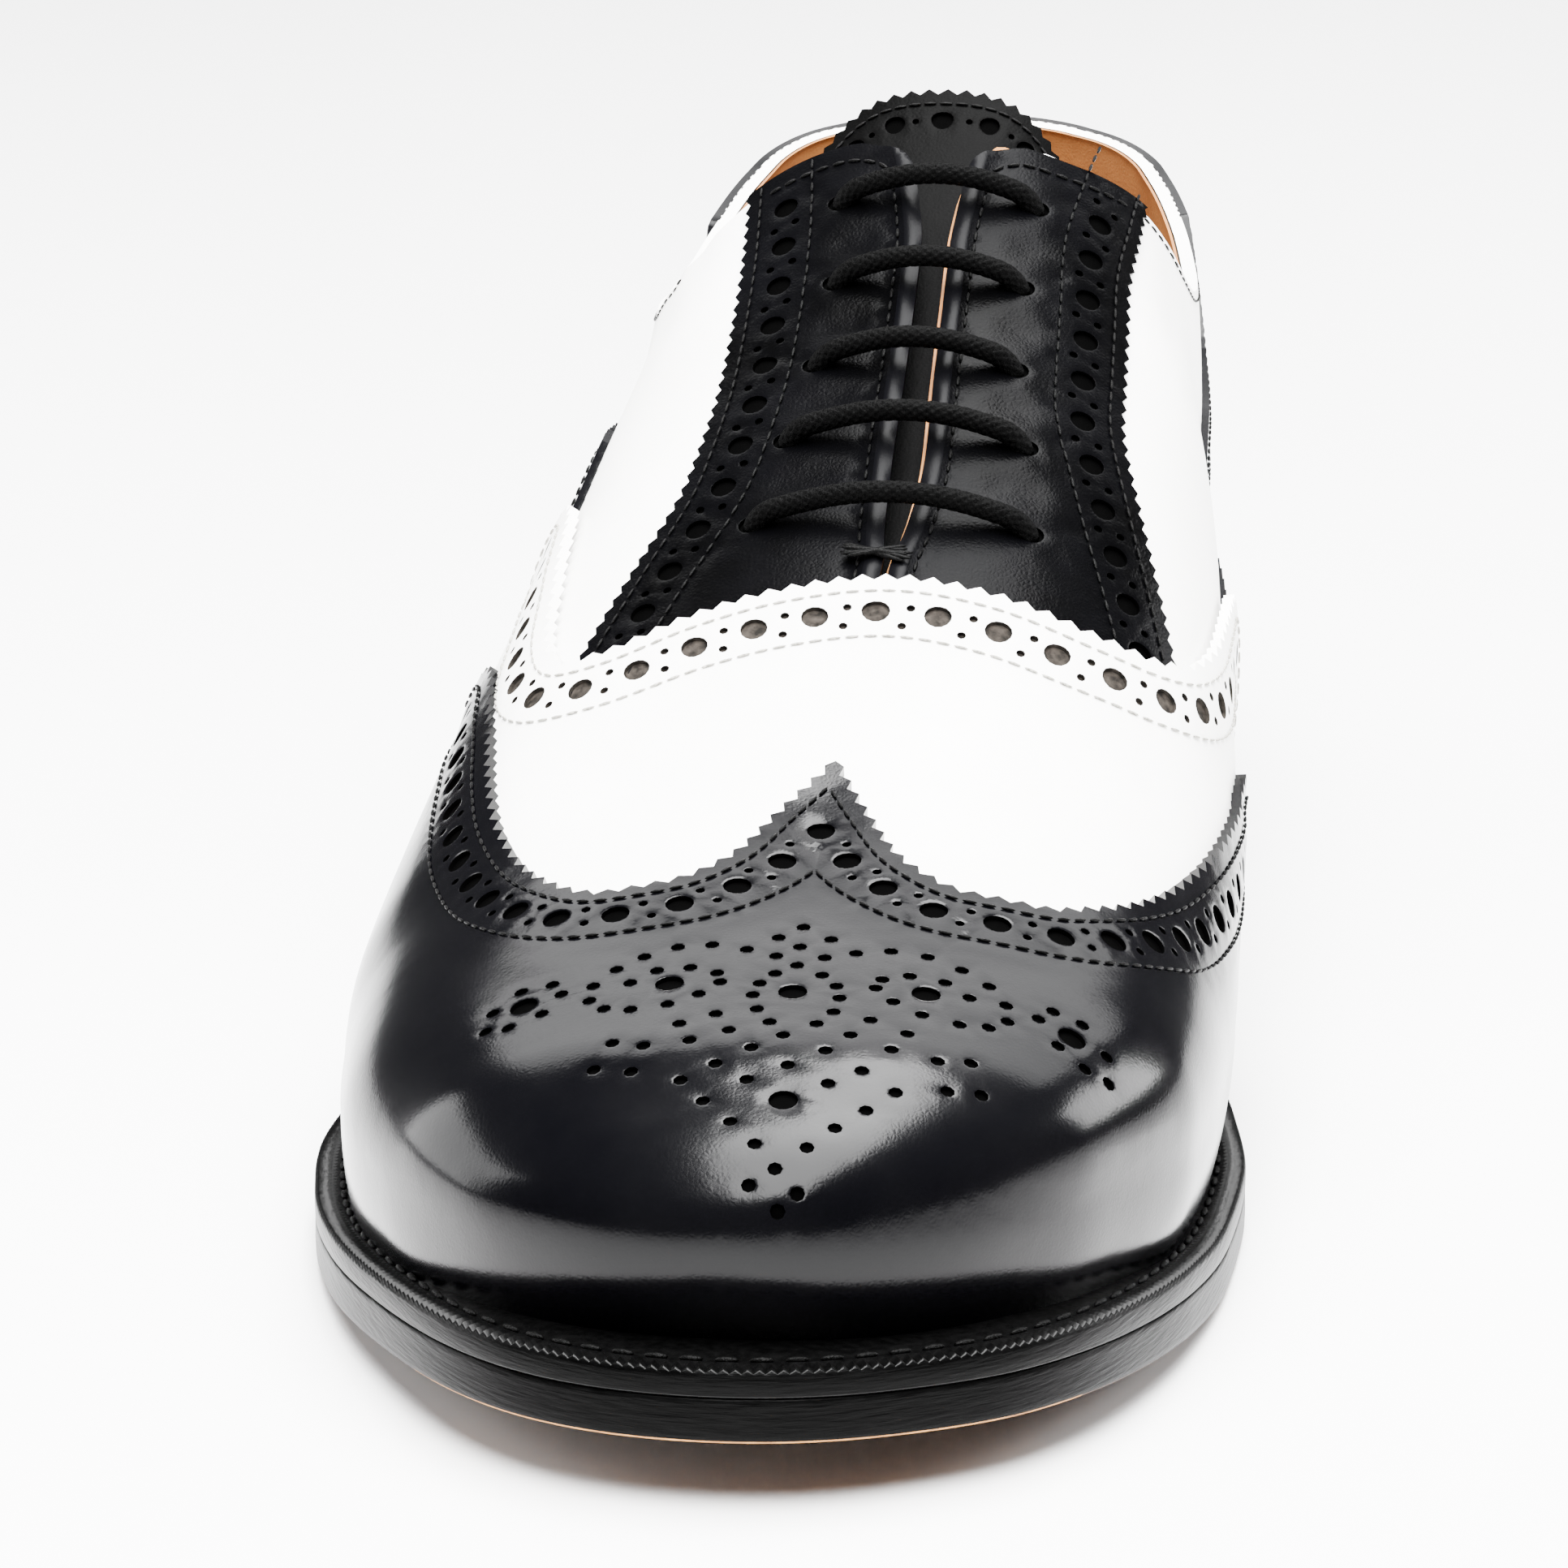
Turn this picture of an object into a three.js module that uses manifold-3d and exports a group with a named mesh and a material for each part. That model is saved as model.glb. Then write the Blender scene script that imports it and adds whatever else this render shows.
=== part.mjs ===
// A right-foot spectator oxford: wingtip, vamp, facings and counter over a lasted upper, on a welted
// leather sole with a stacked heel. Millimetres, +Z up, toe towards -Y, the big-toe side towards +X.
import * as THREE from 'three';
import { mergeVertices } from 'three/addons/utils/BufferGeometryUtils.js';
import Module from 'manifold-3d';

const wasm = await Module();
wasm.setup();

// Driving dimensions
const soleLength = 300;
const soleBallWidth = 107.3;
const soleThickness = 5.2;
const weltThickness = 3.5;
const heelHeight = 22;
const heelBreastLength = 75;
const toeSpring = 7.6;
const upperBallWidth = 102;
const instepHeight = 80;
const backHeight = 60;
const heelRim = 3;
const toeRim = 8;
const upperLength = soleLength - heelRim - toeRim;
const wall = 2;
const overlay = 1.1;
const clearance = 0.3;
const insoleProud = 1.6;
const lift = { count: 3, topPiece: 6, inset: 0.4, rim: 0.6, breastHollow: 3 };
const tongueSize = { thickness: 1.8, drop: 2.8, rise: 12, columns: 8, rows: 10 };
const lace = { diameter: 2.6, sides: 8, tail: 1.3 };
const eyelet = { diameter: 4.3, reach: 5 };
const slitLength = 63;

// Levels of the sole along its length: shares of the sole length, the heel height and the toe spring
const soleProfile = [
  { at: 0.00, heel: 1.000, spring: 0.00 },
  { at: 0.25, heel: 1.000, spring: 0.00 },
  { at: 0.30, heel: 0.886, spring: 0.00 },
  { at: 0.40, heel: 0.523, spring: 0.00 },
  { at: 0.50, heel: 0.182, spring: 0.00 },
  { at: 0.58, heel: 0.027, spring: 0.00 },
  { at: 0.64, heel: 0.000, spring: 0.00 },
  { at: 0.70, heel: 0.000, spring: 0.00 },
  { at: 0.78, heel: 0.000, spring: 0.15 },
  { at: 0.86, heel: 0.000, spring: 0.51 },
  { at: 0.94, heel: 0.000, spring: 0.85 },
  { at: 1.00, heel: 0.000, spring: 1.00 },
];

// Outline of the sole: shares of its length from the heel, and of its ball width on each side
const soleOutline = [
  { at: 0.000, lateral: 0.000, medial: 0.000 },
  { at: 0.030, lateral: 0.191, medial: 0.191 },
  { at: 0.070, lateral: 0.266, medial: 0.261 },
  { at: 0.150, lateral: 0.317, medial: 0.308 },
  { at: 0.250, lateral: 0.322, medial: 0.303 },
  { at: 0.350, lateral: 0.331, medial: 0.294 },
  { at: 0.450, lateral: 0.387, medial: 0.331 },
  { at: 0.550, lateral: 0.463, medial: 0.394 },
  { at: 0.630, lateral: 0.511, medial: 0.448 },
  { at: 0.700, lateral: 0.529, medial: 0.471 },
  { at: 0.760, lateral: 0.509, medial: 0.466 },
  { at: 0.830, lateral: 0.459, medial: 0.442 },
  { at: 0.900, lateral: 0.375, medial: 0.385 },
  { at: 0.950, lateral: 0.288, medial: 0.302 },
  { at: 0.985, lateral: 0.176, medial: 0.169 },
  { at: 1.000, lateral: 0.000, medial: 0.000 },
];

// Sections of the last from heel to toe. Widths and lean are shares of the upper's ball width; crown,
// widest level and underside are shares of the instep height above the welt; round is the exponent.
const lastSections = [
  { at: 0.000, lateral: 0.000, medial: 0.000, lean: 0.000, crown: 0.285, widest: 0.285, under: 0.285, round: 2.30 },
  { at: 0.030, lateral: 0.201, medial: 0.196, lean: 0.000, crown: 0.900, widest: 0.281, under: -0.150, round: 2.30 },
  { at: 0.070, lateral: 0.284, medial: 0.279, lean: 0.000, crown: 1.213, widest: 0.269, under: -0.200, round: 2.30 },
  { at: 0.150, lateral: 0.333, medial: 0.328, lean: 0.010, crown: 1.325, widest: 0.231, under: -0.200, round: 2.40 },
  { at: 0.250, lateral: 0.353, medial: 0.353, lean: 0.025, crown: 1.280, widest: 0.181, under: -0.100, round: 2.50 },
  { at: 0.350, lateral: 0.369, medial: 0.361, lean: 0.051, crown: 1.125, widest: 0.191, under: -0.075, round: 2.50 },
  { at: 0.450, lateral: 0.426, medial: 0.404, lean: 0.067, crown: 0.997, widest: 0.231, under: -0.100, round: 2.40 },
  { at: 0.550, lateral: 0.479, medial: 0.433, lean: 0.067, crown: 0.865, widest: 0.230, under: -0.163, round: 2.30 },
  { at: 0.630, lateral: 0.507, medial: 0.454, lean: 0.051, crown: 0.723, widest: 0.205, under: -0.200, round: 2.20 },
  { at: 0.700, lateral: 0.514, medial: 0.464, lean: 0.035, crown: 0.602, widest: 0.175, under: -0.200, round: 2.15 },
  { at: 0.760, lateral: 0.496, medial: 0.462, lean: 0.030, crown: 0.513, widest: 0.158, under: -0.200, round: 2.20 },
  { at: 0.830, lateral: 0.464, medial: 0.446, lean: 0.032, crown: 0.436, widest: 0.157, under: -0.200, round: 2.30 },
  { at: 0.900, lateral: 0.389, medial: 0.373, lean: 0.038, crown: 0.362, widest: 0.157, under: -0.200, round: 2.30 },
  { at: 0.950, lateral: 0.293, medial: 0.282, lean: 0.036, crown: 0.310, widest: 0.164, under: -0.163, round: 2.30 },
  { at: 0.985, lateral: 0.166, medial: 0.164, lean: 0.027, crown: 0.254, widest: 0.164, under: -0.020, round: 2.30 },
  { at: 1.000, lateral: 0.000, medial: 0.000, lean: 0.000, crown: 0.162, widest: 0.162, under: 0.162, round: 2.30 },
];
const underRound = { lateral: 3.0, medial: 2.5 };

// Collar line above the heel seat: shares of the upper length and of the back height on each side
const collarLine = [
  { at: 0.000, lateral: 0.970, medial: 0.970 },
  { at: 0.035, lateral: 0.955, medial: 0.955 },
  { at: 0.080, lateral: 0.885, medial: 0.895 },
  { at: 0.130, lateral: 0.815, medial: 0.840 },
  { at: 0.180, lateral: 0.785, medial: 0.820 },
  { at: 0.230, lateral: 0.785, medial: 0.830 },
  { at: 0.285, lateral: 0.810, medial: 0.870 },
  { at: 0.326, lateral: 0.845, medial: 0.955 },
  { at: 0.352, lateral: 0.907, medial: 1.069 },
  { at: 0.366, lateral: 0.957, medial: 1.139 },
  { at: 0.378, lateral: 1.014, medial: 1.196 },
  { at: 0.386, lateral: 1.131, medial: 1.243 },
];

// Half width of the lace slit and where it lies: shares of the upper length, millimetres across
const slitShape = [
  { at: 0.604, half: 0.5 },
  { at: 0.585, half: 1.4 },
  { at: 0.554, half: 1.9 },
  { at: 0.500, half: 1.7 },
  { at: 0.447, half: 1.7 },
  { at: 0.412, half: 2.8 },
  { at: 0.380, half: 4.6 },
];

// Lace rows from the throat up: shares of the upper length, and degrees round the section
const laceRows = [
  { name: 'lace_bar_1', at: 0.582, lateral: -17.5, medial: 18.0 },
  { name: 'lace_bar_2', at: 0.541, lateral: -15.0, medial: 15.2 },
  { name: 'lace_bar_3', at: 0.502, lateral: -12.8, medial: 12.4 },
  { name: 'lace_bar_4', at: 0.459, lateral: -12.0, medial: 12.0 },
  { name: 'lace_bar_5', at: 0.417, lateral: -13.0, medial: 13.6 },
];

// Pattern lines. Each point is a share of the upper length from the heel and the degrees round the
// section: 0 on the ridge, 90 at the widest level, negative on the outer side, beyond 90 underneath.
const wingLine = {
  lateral: [
    { at: 0.520, turn: -118 }, { at: 0.525, turn: -95 }, { at: 0.535, turn: -80 }, { at: 0.573, turn: -62 },
    { at: 0.631, turn: -53.5 }, { at: 0.683, turn: -48 }, { at: 0.729, turn: -43 }, { at: 0.777, turn: -35 },
    { at: 0.801, turn: -24 }, { at: 0.798, turn: -16 }, { at: 0.782, turn: -9.3 }, { at: 0.750, turn: -4.6 },
    { at: 0.719, turn: 0 },
  ],
  medial: [
    { at: 0.719, turn: 0 }, { at: 0.750, turn: 4.6 }, { at: 0.782, turn: 10.5 }, { at: 0.797, turn: 19 },
    { at: 0.795, turn: 29 }, { at: 0.776, turn: 40 }, { at: 0.736, turn: 51.5 }, { at: 0.689, turn: 60 },
    { at: 0.628, turn: 68.5 }, { at: 0.565, turn: 76 }, { at: 0.535, turn: 86 }, { at: 0.525, turn: 98 },
    { at: 0.520, turn: 118 },
  ],
};
const vampLine = [
  { at: 0.455, turn: -118 }, { at: 0.458, turn: -95 }, { at: 0.462, turn: -78 }, { at: 0.474, turn: -64 },
  { at: 0.500, turn: -54.5 }, { at: 0.553, turn: -50 }, { at: 0.600, turn: -46 }, { at: 0.628, turn: -40 },
  { at: 0.634, turn: -32 }, { at: 0.629, turn: -22 }, { at: 0.622, turn: -10 }, { at: 0.617, turn: 2 },
  { at: 0.619, turn: 14 }, { at: 0.621, turn: 27 }, { at: 0.616, turn: 38 }, { at: 0.600, turn: 48 },
  { at: 0.568, turn: 56 }, { at: 0.520, turn: 62.5 }, { at: 0.484, turn: 68 }, { at: 0.466, turn: 77 },
  { at: 0.458, turn: 95 }, { at: 0.455, turn: 118 },
];
const facingEdge = [
  { at: 0.330, lateral: -33.0, medial: 45.0 },
  { at: 0.386, lateral: -30.5, medial: 36.5 },
  { at: 0.440, lateral: -28.2, medial: 31.5 },
  { at: 0.500, lateral: -27.0, medial: 31.5 },
  { at: 0.544, lateral: -28.5, medial: 36.5 },
  { at: 0.586, lateral: -34.0, medial: 44.5 },
  { at: 0.621, lateral: -38.2, medial: 52.0 },
  { at: 0.660, lateral: -42.0, medial: 60.0 },
];
const counterEdge = [
  { at: 0.055, lateral: -20.0, medial: 20.0 },
  { at: 0.085, lateral: -52.0, medial: 52.0 },
  { at: 0.105, lateral: -67.0, medial: 67.0 },
  { at: 0.125, lateral: -74.0, medial: 74.0 },
  { at: 0.155, lateral: -79.0, medial: 78.5 },
  { at: 0.190, lateral: -81.5, medial: 80.5 },
  { at: 0.240, lateral: -82.0, medial: 81.0 },
  { at: 0.300, lateral: -79.0, medial: 80.0 },
  { at: 0.350, lateral: -73.0, medial: 78.5 },
  { at: 0.400, lateral: -65.5, medial: 77.0 },
  { at: 0.440, lateral: -60.5, medial: 76.0 },
  { at: 0.480, lateral: -61.0, medial: 75.0 },
  { at: 0.540, lateral: -64.0, medial: 72.0 },
  { at: 0.680, lateral: -66.0, medial: 70.0 },
];

// Smooth curve through a table column that never overshoots its rows
function curve(xs, ys) {
  const h = xs.slice(1).map((x, i) => x - xs[i]);
  const d = h.map((step, i) => (ys[i + 1] - ys[i]) / step);
  const slope = xs.map((_, i) => {
    if (i === 0) return endSlope(h[0], h[1] ?? h[0], d[0], d[1] ?? d[0]);
    if (i === xs.length - 1) return endSlope(h[i - 1], h[i - 2] ?? h[i - 1], d[i - 1], d[i - 2] ?? d[i - 1]);
    if (d[i - 1] * d[i] <= 0) return 0;
    const w1 = 2 * h[i] + h[i - 1];
    const w2 = h[i] + 2 * h[i - 1];
    return (w1 + w2) / (w1 / d[i - 1] + w2 / d[i]);
  });
  return (x) => {
    let i = 0;
    while (i < h.length - 1 && x > xs[i + 1]) i += 1;
    const t = Math.min(1, Math.max(0, (x - xs[i]) / h[i]));
    const a = (1 + 2 * t) * (1 - t) ** 2 * ys[i] + t * t * (3 - 2 * t) * ys[i + 1];
    return a + h[i] * (t * (1 - t) ** 2 * slope[i] + t * t * (t - 1) * slope[i + 1]);
  };
}

function endSlope(h0, h1, d0, d1) {
  const s = ((2 * h0 + h1) * d0 - h0 * d1) / (h0 + h1);
  if (Math.sign(s) !== Math.sign(d0)) return 0;
  return Math.sign(d0) !== Math.sign(d1) && Math.abs(s) > 3 * Math.abs(d0) ? 3 * d0 : s;
}

// A share of a length as an angle, so that both ends of an outline come out round
const roundShare = (share) => Math.acos(Math.min(1, Math.max(-1, 1 - 2 * share)));
const column = (table, key, along = (at) => at) => curve(table.map((r) => along(r.at)), table.map((r) => r[key]));

const soleHeel = soleLength / 2;
const upperHeel = soleHeel - heelRim;
const heelLevel = column(soleProfile, 'heel');
const springLevel = column(soleProfile, 'spring');
const soleBottom = (y) => {
  const share = Math.min(1, Math.max(0, (soleHeel - y) / soleLength));
  return heelHeight * heelLevel(share) + toeSpring * springLevel(share);
};
const soleTop = (y) => soleBottom(y) + soleThickness;
const feather = (y) => soleTop(y) + weltThickness;
const yAt = (share) => upperHeel - share * upperLength;

const outlineLateral = column(soleOutline, 'lateral', roundShare);
const outlineMedial = column(soleOutline, 'medial', roundShare);
const soleEdge = (share) => ({
  lateral: -soleBallWidth * outlineLateral(roundShare(share)),
  medial: soleBallWidth * outlineMedial(roundShare(share)),
});

const last = Object.fromEntries(
  ['lateral', 'medial', 'lean', 'crown', 'widest', 'under', 'round']
    .map((key) => [key, column(lastSections, key, roundShare)]),
);

// Point on the last: share of the length from the heel, degrees round the section
function lastPoint(share, angle) {
  const turn = ((angle + 540) % 360) - 180;
  const s = roundShare(share);
  const a = THREE.MathUtils.degToRad(turn);
  const y = yAt(share);
  const side = turn < 0 ? 'lateral' : 'medial';
  const above = Math.abs(turn) <= 90;
  const power = 2 / (above ? last.round(s) : underRound[side]);
  const across = Math.abs(Math.sin(a)) ** power;
  const rise = Math.abs(Math.cos(a)) ** power;
  const level = last.widest(s);
  const far = above ? last.crown(s) : last.under(s);
  const width = (turn < 0 ? -1 : 1) * last[side](s) * upperBallWidth;
  const x = width * across + (above ? last.lean(s) * upperBallWidth * rise : 0);
  return new THREE.Vector3(x, y, feather(y) + instepHeight * (level + (far - level) * rise));
}

const poleShare = 0.0004;
const turnStep = 1.2;
const shareStep = 0.002;

function lastNormal(share, turn) {
  const p = Math.min(1 - poleShare, Math.max(poleShare, share));
  const step = Math.min(shareStep, p * 0.9, (1 - p) * 0.9);
  const along = lastPoint(p + step, turn).sub(lastPoint(p - step, turn));
  const round = lastPoint(p, turn + turnStep).sub(lastPoint(p, turn - turnStep));
  return along.cross(round).normalize();
}

// The last's surface moved outwards by an amount
const offPoint = (share, turn, out) =>
  lastPoint(share, turn).addScaledVector(lastNormal(share, turn), out);

function solidOf(vertices, triangles) {
  const make = (tris) => new wasm.Manifold(new wasm.Mesh({
    numProp: 3,
    vertProperties: new Float32Array(vertices.flatMap((v) => [v.x, v.y, v.z])),
    triVerts: new Uint32Array(tris.flat()),
  }));
  const solid = make(triangles);
  return solid.volume() > 0 ? solid : make(triangles.map(([a, b, c]) => [a, c, b]));
}

// Closed solid through rings of equal count, each end closed to the middle of its last ring
function loft(rings) {
  const n = rings[0].length;
  const vertices = rings.flat();
  const triangles = [];
  for (let k = 0; k < rings.length - 1; k += 1) {
    for (let i = 0; i < n; i += 1) {
      const a = k * n + i;
      const b = k * n + ((i + 1) % n);
      triangles.push([a, b, b + n], [a, b + n, a + n]);
    }
  }
  for (const [ring, start, turn] of [[rings[0], 0, 1], [rings.at(-1), (rings.length - 1) * n, -1]]) {
    const middle = ring.reduce((sum, v) => sum.add(v), new THREE.Vector3()).divideScalar(n);
    vertices.push(middle);
    for (let i = 0; i < n; i += 1) {
      const pair = [start + i, start + ((i + 1) % n)];
      triangles.push(turn > 0 ? [pair[1], pair[0], vertices.length - 1] : [...pair, vertices.length - 1]);
    }
  }
  return solidOf(vertices, triangles);
}

// Loft of a ruled strip: both long rows of each ring have the same count, and the ends are strips too
function ribbon(rings) {
  const n = rings[0].length;
  const vertices = rings.flat();
  const triangles = [];
  for (let k = 0; k < rings.length - 1; k += 1) {
    for (let i = 0; i < n; i += 1) {
      const a = k * n + i;
      const b = k * n + ((i + 1) % n);
      triangles.push([a, b, b + n], [a, b + n, a + n]);
    }
  }
  for (const [start, flip] of [[0, false], [(rings.length - 1) * n, true]]) {
    for (let i = 0; i < n / 2 - 1; i += 1) {
      const quad = [start + i, start + i + 1, start + n - 2 - i, start + n - 1 - i];
      const pair = [[quad[0], quad[2], quad[1]], [quad[0], quad[3], quad[2]]];
      triangles.push(...pair.map(([a, b, c]) => (flip ? [a, c, b] : [a, b, c])));
    }
  }
  return solidOf(vertices, triangles);
}

const range = (count, from = 0, to = 1) =>
  Array.from({ length: count + 1 }, (_, i) => from + ((to - from) * i) / count);
const roundRange = (count) => range(count).map((t) => (1 - Math.cos(Math.PI * t)) / 2);

const ringTurns = range(24, -180, 180).slice(0, -1);
const formShares = roundRange(21).map((p) => Math.min(1 - poleShare, Math.max(poleShare, p)));

// The whole last, grown or shrunk
function form(out, shares = formShares) {
  return loft(shares.map((share) => ringTurns.map((turn) => offPoint(share, turn, out))));
}

// Smooth pattern line sampled evenly, as pairs of share and turn
function patternLine(rows, count) {
  const steps = rows.slice(1).map((r, i) =>
    Math.hypot((r.at - rows[i].at) * upperLength, (r.turn - rows[i].turn) * degree));
  const run = steps.reduce((sum, s) => [...sum, sum.at(-1) + s], [0]);
  const at = curve(run, rows.map((r) => r.at));
  const turn = curve(run, rows.map((r) => r.turn));
  return range(count, 0, run.at(-1)).map((u) => ({ at: at(u), turn: turn(u) }));
}

const degree = upperBallWidth / 140;
const lineSteps = 17;

// A pattern line moved sideways on the leather, towards the heel if the amount is positive
function shiftLine(line, amount) {
  return line.map((point, i) => {
    const before = line[Math.max(0, i - 1)];
    const after = line[Math.min(line.length - 1, i + 1)];
    const perShare = lastPoint(point.at + shareStep, point.turn)
      .distanceTo(lastPoint(point.at - shareStep, point.turn)) / (2 * shareStep);
    const perTurn = lastPoint(point.at, point.turn + turnStep)
      .distanceTo(lastPoint(point.at, point.turn - turnStep)) / (2 * turnStep);
    const along = (after.at - before.at) * perShare;
    const round = (after.turn - before.turn) * perTurn;
    const size = Math.hypot(along, round) || 1;
    return { at: point.at - (amount * round) / size / perShare, turn: point.turn + (amount * along) / size / perTurn };
  });
}

const cutReach = 5;

// Everything behind a pattern line, from a plain section near the heel
function behind(line, heelShare) {
  const turns = range(line.length - 1, -175, 175);
  const rows = [0, 0.2, 0.4, 0.6, 0.8, 1];
  const rings = rows.map((t) => line.map((point, i) => {
    const blend = t ** 2;
    const turn = turns[i] + (point.turn - turns[i]) * blend;
    return offPoint(heelShare + (point.at - heelShare) * t, turn, cutReach);
  }));
  rings.push(line.map((point) => offPoint(point.at, point.turn, -cutReach)));
  return loft(rings);
}

// A thick sheet over the last between two edges given for each share
function sheet(shares, edges, outer, inner, columns) {
  return ribbon(shares.map((share) => {
    const [from, to] = edges(share);
    const turns = range(columns, from, to);
    return [
      ...turns.map((turn) => offPoint(share, turn, outer(share))),
      ...turns.reverse().map((turn) => offPoint(share, turn, inner(share))),
    ];
  }));
}

// A slab across the shoe between two levels that follow the sole, with its own outline
function slab(shares, edges, low, high) {
  return loft(shares.map((share) => {
    const y = soleHeel - share * soleLength;
    const { lateral, medial } = edges(share);
    return [
      new THREE.Vector3(lateral, y, low(y)), new THREE.Vector3(medial, y, low(y)),
      new THREE.Vector3(medial, y, high(y)), new THREE.Vector3(lateral, y, high(y)),
    ];
  }));
}

const wide = { lateral: -upperBallWidth, medial: upperBallWidth };
const levelEnds = [0.25, 0.64, 0.7];
const soleShares = [...roundRange(28).map((p) => Math.min(1 - poleShare, Math.max(poleShare, p))), ...levelEnds]
  .sort((a, b) => a - b);
const belowWelt = slab([-0.05, ...soleShares, 1.05], () => wide, (y) => feather(y) - upperBallWidth, (y) => feather(y) + clearance);

// Space above the collar line, behind the facings' top edge
function collarCut() {
  const lateral = column(collarLine, 'lateral');
  const medial = column(collarLine, 'medial');
  const seat = feather(soleHeel);
  const sky = seat + 2 * backHeight;
  const mid = upperBallWidth / 8;
  const top = collarLine.at(-1).at;
  return loft([-0.05, ...range(26, 0, top)].map((share) => {
    const [zl, zm] = [lateral, medial].map((line) => seat + backHeight * line(Math.max(0, share)));
    const y = yAt(share);
    const row = [[wide.lateral, zl], [-mid, zl], [mid, zm], [wide.medial, zm], [wide.medial, sky], [wide.lateral, sky]];
    return row.map(([x, z]) => new THREE.Vector3(x, y, z));
  }));
}

const slitHalf = column([...slitShape].reverse(), 'half');
const throatShare = slitShape[0].at;
const slitTop = throatShare - slitLength / upperLength;
const ridgeX = (share) => last.lean(roundShare(share)) * upperBallWidth;

// Upright wedge through the facings along the ridge
function slitCut(extraThroat = 0) {
  const shares = [throatShare + extraThroat, ...range(14, throatShare, slitTop - 0.03)];
  const sky = feather(soleHeel) + 2 * backHeight;
  const floor = feather(yAt(throatShare)) + instepHeight / 4;
  return loft(shares.map((share) => {
    const half = Math.max(slitHalf(share), clearance);
    const [x, y] = [ridgeX(share), yAt(share)];
    const row = [[x - half, floor], [x + half, floor], [x + half, sky], [x - half, sky]];
    return row.map(([px, pz]) => new THREE.Vector3(px, y, pz));
  }));
}

// Round pins that cut the lace holes
function eyeletPins() {
  return laceRows.flatMap((row) => [row.lateral, row.medial].map((turn) => {
    const geometry = new THREE.CylinderGeometry(eyelet.diameter / 2, eyelet.diameter / 2, 2 * eyelet.reach, 8);
    const normal = lastNormal(row.at, turn);
    const spin = new THREE.Quaternion().setFromUnitVectors(new THREE.Vector3(0, 1, 0), normal);
    geometry.applyQuaternion(spin);
    geometry.translate(...lastPoint(row.at, turn).toArray());
    return solidFrom(geometry);
  }));
}

function solidFrom(geometry) {
  geometry.deleteAttribute('normal');
  geometry.deleteAttribute('uv');
  const merged = mergeVertices(geometry.index ? geometry.toNonIndexed() : geometry, 1e-4);
  const at = merged.attributes.position;
  const vertices = range(at.count - 1, 0, at.count - 1).map((i) => new THREE.Vector3().fromBufferAttribute(at, i));
  const index = Array.from(merged.index.array);
  return solidOf(vertices, range(index.length / 3 - 1, 0, index.length / 3 - 1).map((i) => index.slice(3 * i, 3 * i + 3)));
}

const finishes = {
  blackCalf: { color: 0x0b0c10, roughness: 0.28 },
  whiteCalf: { color: 0xf1f0ec, roughness: 0.45 },
  blackEdge: { color: 0x141416, roughness: 0.5 },
  soleLeather: { color: 0x9a6a42, roughness: 0.6 },
  insoleLeather: { color: 0xc79a6c, roughness: 0.65 },
  heelRubber: { color: 0x17171a, roughness: 0.8 },
  waxedCotton: { color: 0x101013, roughness: 0.75 },
};
const shoe = new THREE.Group();

function add(name, solid, finish) {
  const mesh = solid.getMesh();
  const geometry = new THREE.BufferGeometry();
  const xyz = new Float32Array(mesh.numVert * 3);
  for (let i = 0; i < mesh.numVert; i += 1) {
    xyz.set(mesh.vertProperties.subarray(i * mesh.numProp, i * mesh.numProp + 3), i * 3);
  }
  geometry.setAttribute('position', new THREE.BufferAttribute(xyz, 3));
  geometry.setIndex(new THREE.BufferAttribute(new Uint32Array(mesh.triVerts), 1));
  const piece = new THREE.Mesh(geometry, new THREE.MeshStandardMaterial({ metalness: 0, ...finishes[finish] }));
  piece.name = name;
  shoe.add(piece);
}

// Upper: one hollow shell, open at the collar, the lace slit, the lace holes and underneath
const collar = collarCut();
const pins = eyeletPins();
const lessPins = (solid) => pins.reduce((left, pin) => left.subtract(pin), solid);
const outside = form(0);
const inside = form(-wall);
const shell = outside.subtract(inside).subtract(belowWelt).subtract(collar).subtract(slitCut());
add('upper', lessPins(shell), 'whiteCalf');

// Overlays: cut from a thin band just off the upper
const band = form(clearance + overlay).subtract(form(clearance)).subtract(belowWelt).subtract(collar);
const wing = [
  ...patternLine(wingLine.lateral, lineSteps),
  ...patternLine(wingLine.medial, lineSteps).slice(1),
];
const vampTop = patternLine(vampLine, 2 * lineSteps);
const formStart = 0.2;
const foreStart = 0.3;
const foreForm = form(cutReach, formShares.filter((p) => p > foreStart));
const behindWing = behind(wing, formStart);
const behindWingGap = behind(shiftLine(wing, clearance), formStart);
const behindVamp = behind(vampTop, formStart);
const behindVampGap = behind(shiftLine(vampTop, clearance), formStart);
const aheadOfVamp = foreForm.subtract(behindVampGap);

add('wingtip', band.intersect(foreForm.subtract(behindWing)), 'blackCalf');
add('vamp', band.intersect(foreForm.subtract(behindVamp)).intersect(behindWingGap), 'whiteCalf');

const facingLateral = column(facingEdge, 'lateral');
const facingMedial = column(facingEdge, 'medial');
const facingShares = range(14, facingEdge[0].at, facingEdge.at(-1).at);
const thick = [() => cutReach, () => -cutReach];
const facingBand = lessPins(band
  .intersect(sheet(facingShares, (p) => [facingLateral(p), facingMedial(p)], ...thick, 12))
  .intersect(behindVampGap)
  .subtract(slitCut(0.06)));
const [outerFacing, innerFacing] = facingBand.decompose()
  .filter((piece) => piece.volume() > 1)
  .sort((a, b) => a.boundingBox().min[0] - b.boundingBox().min[0]);
add('facing_lateral', outerFacing, 'blackCalf');
add('facing_medial', innerFacing, 'blackCalf');

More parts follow.
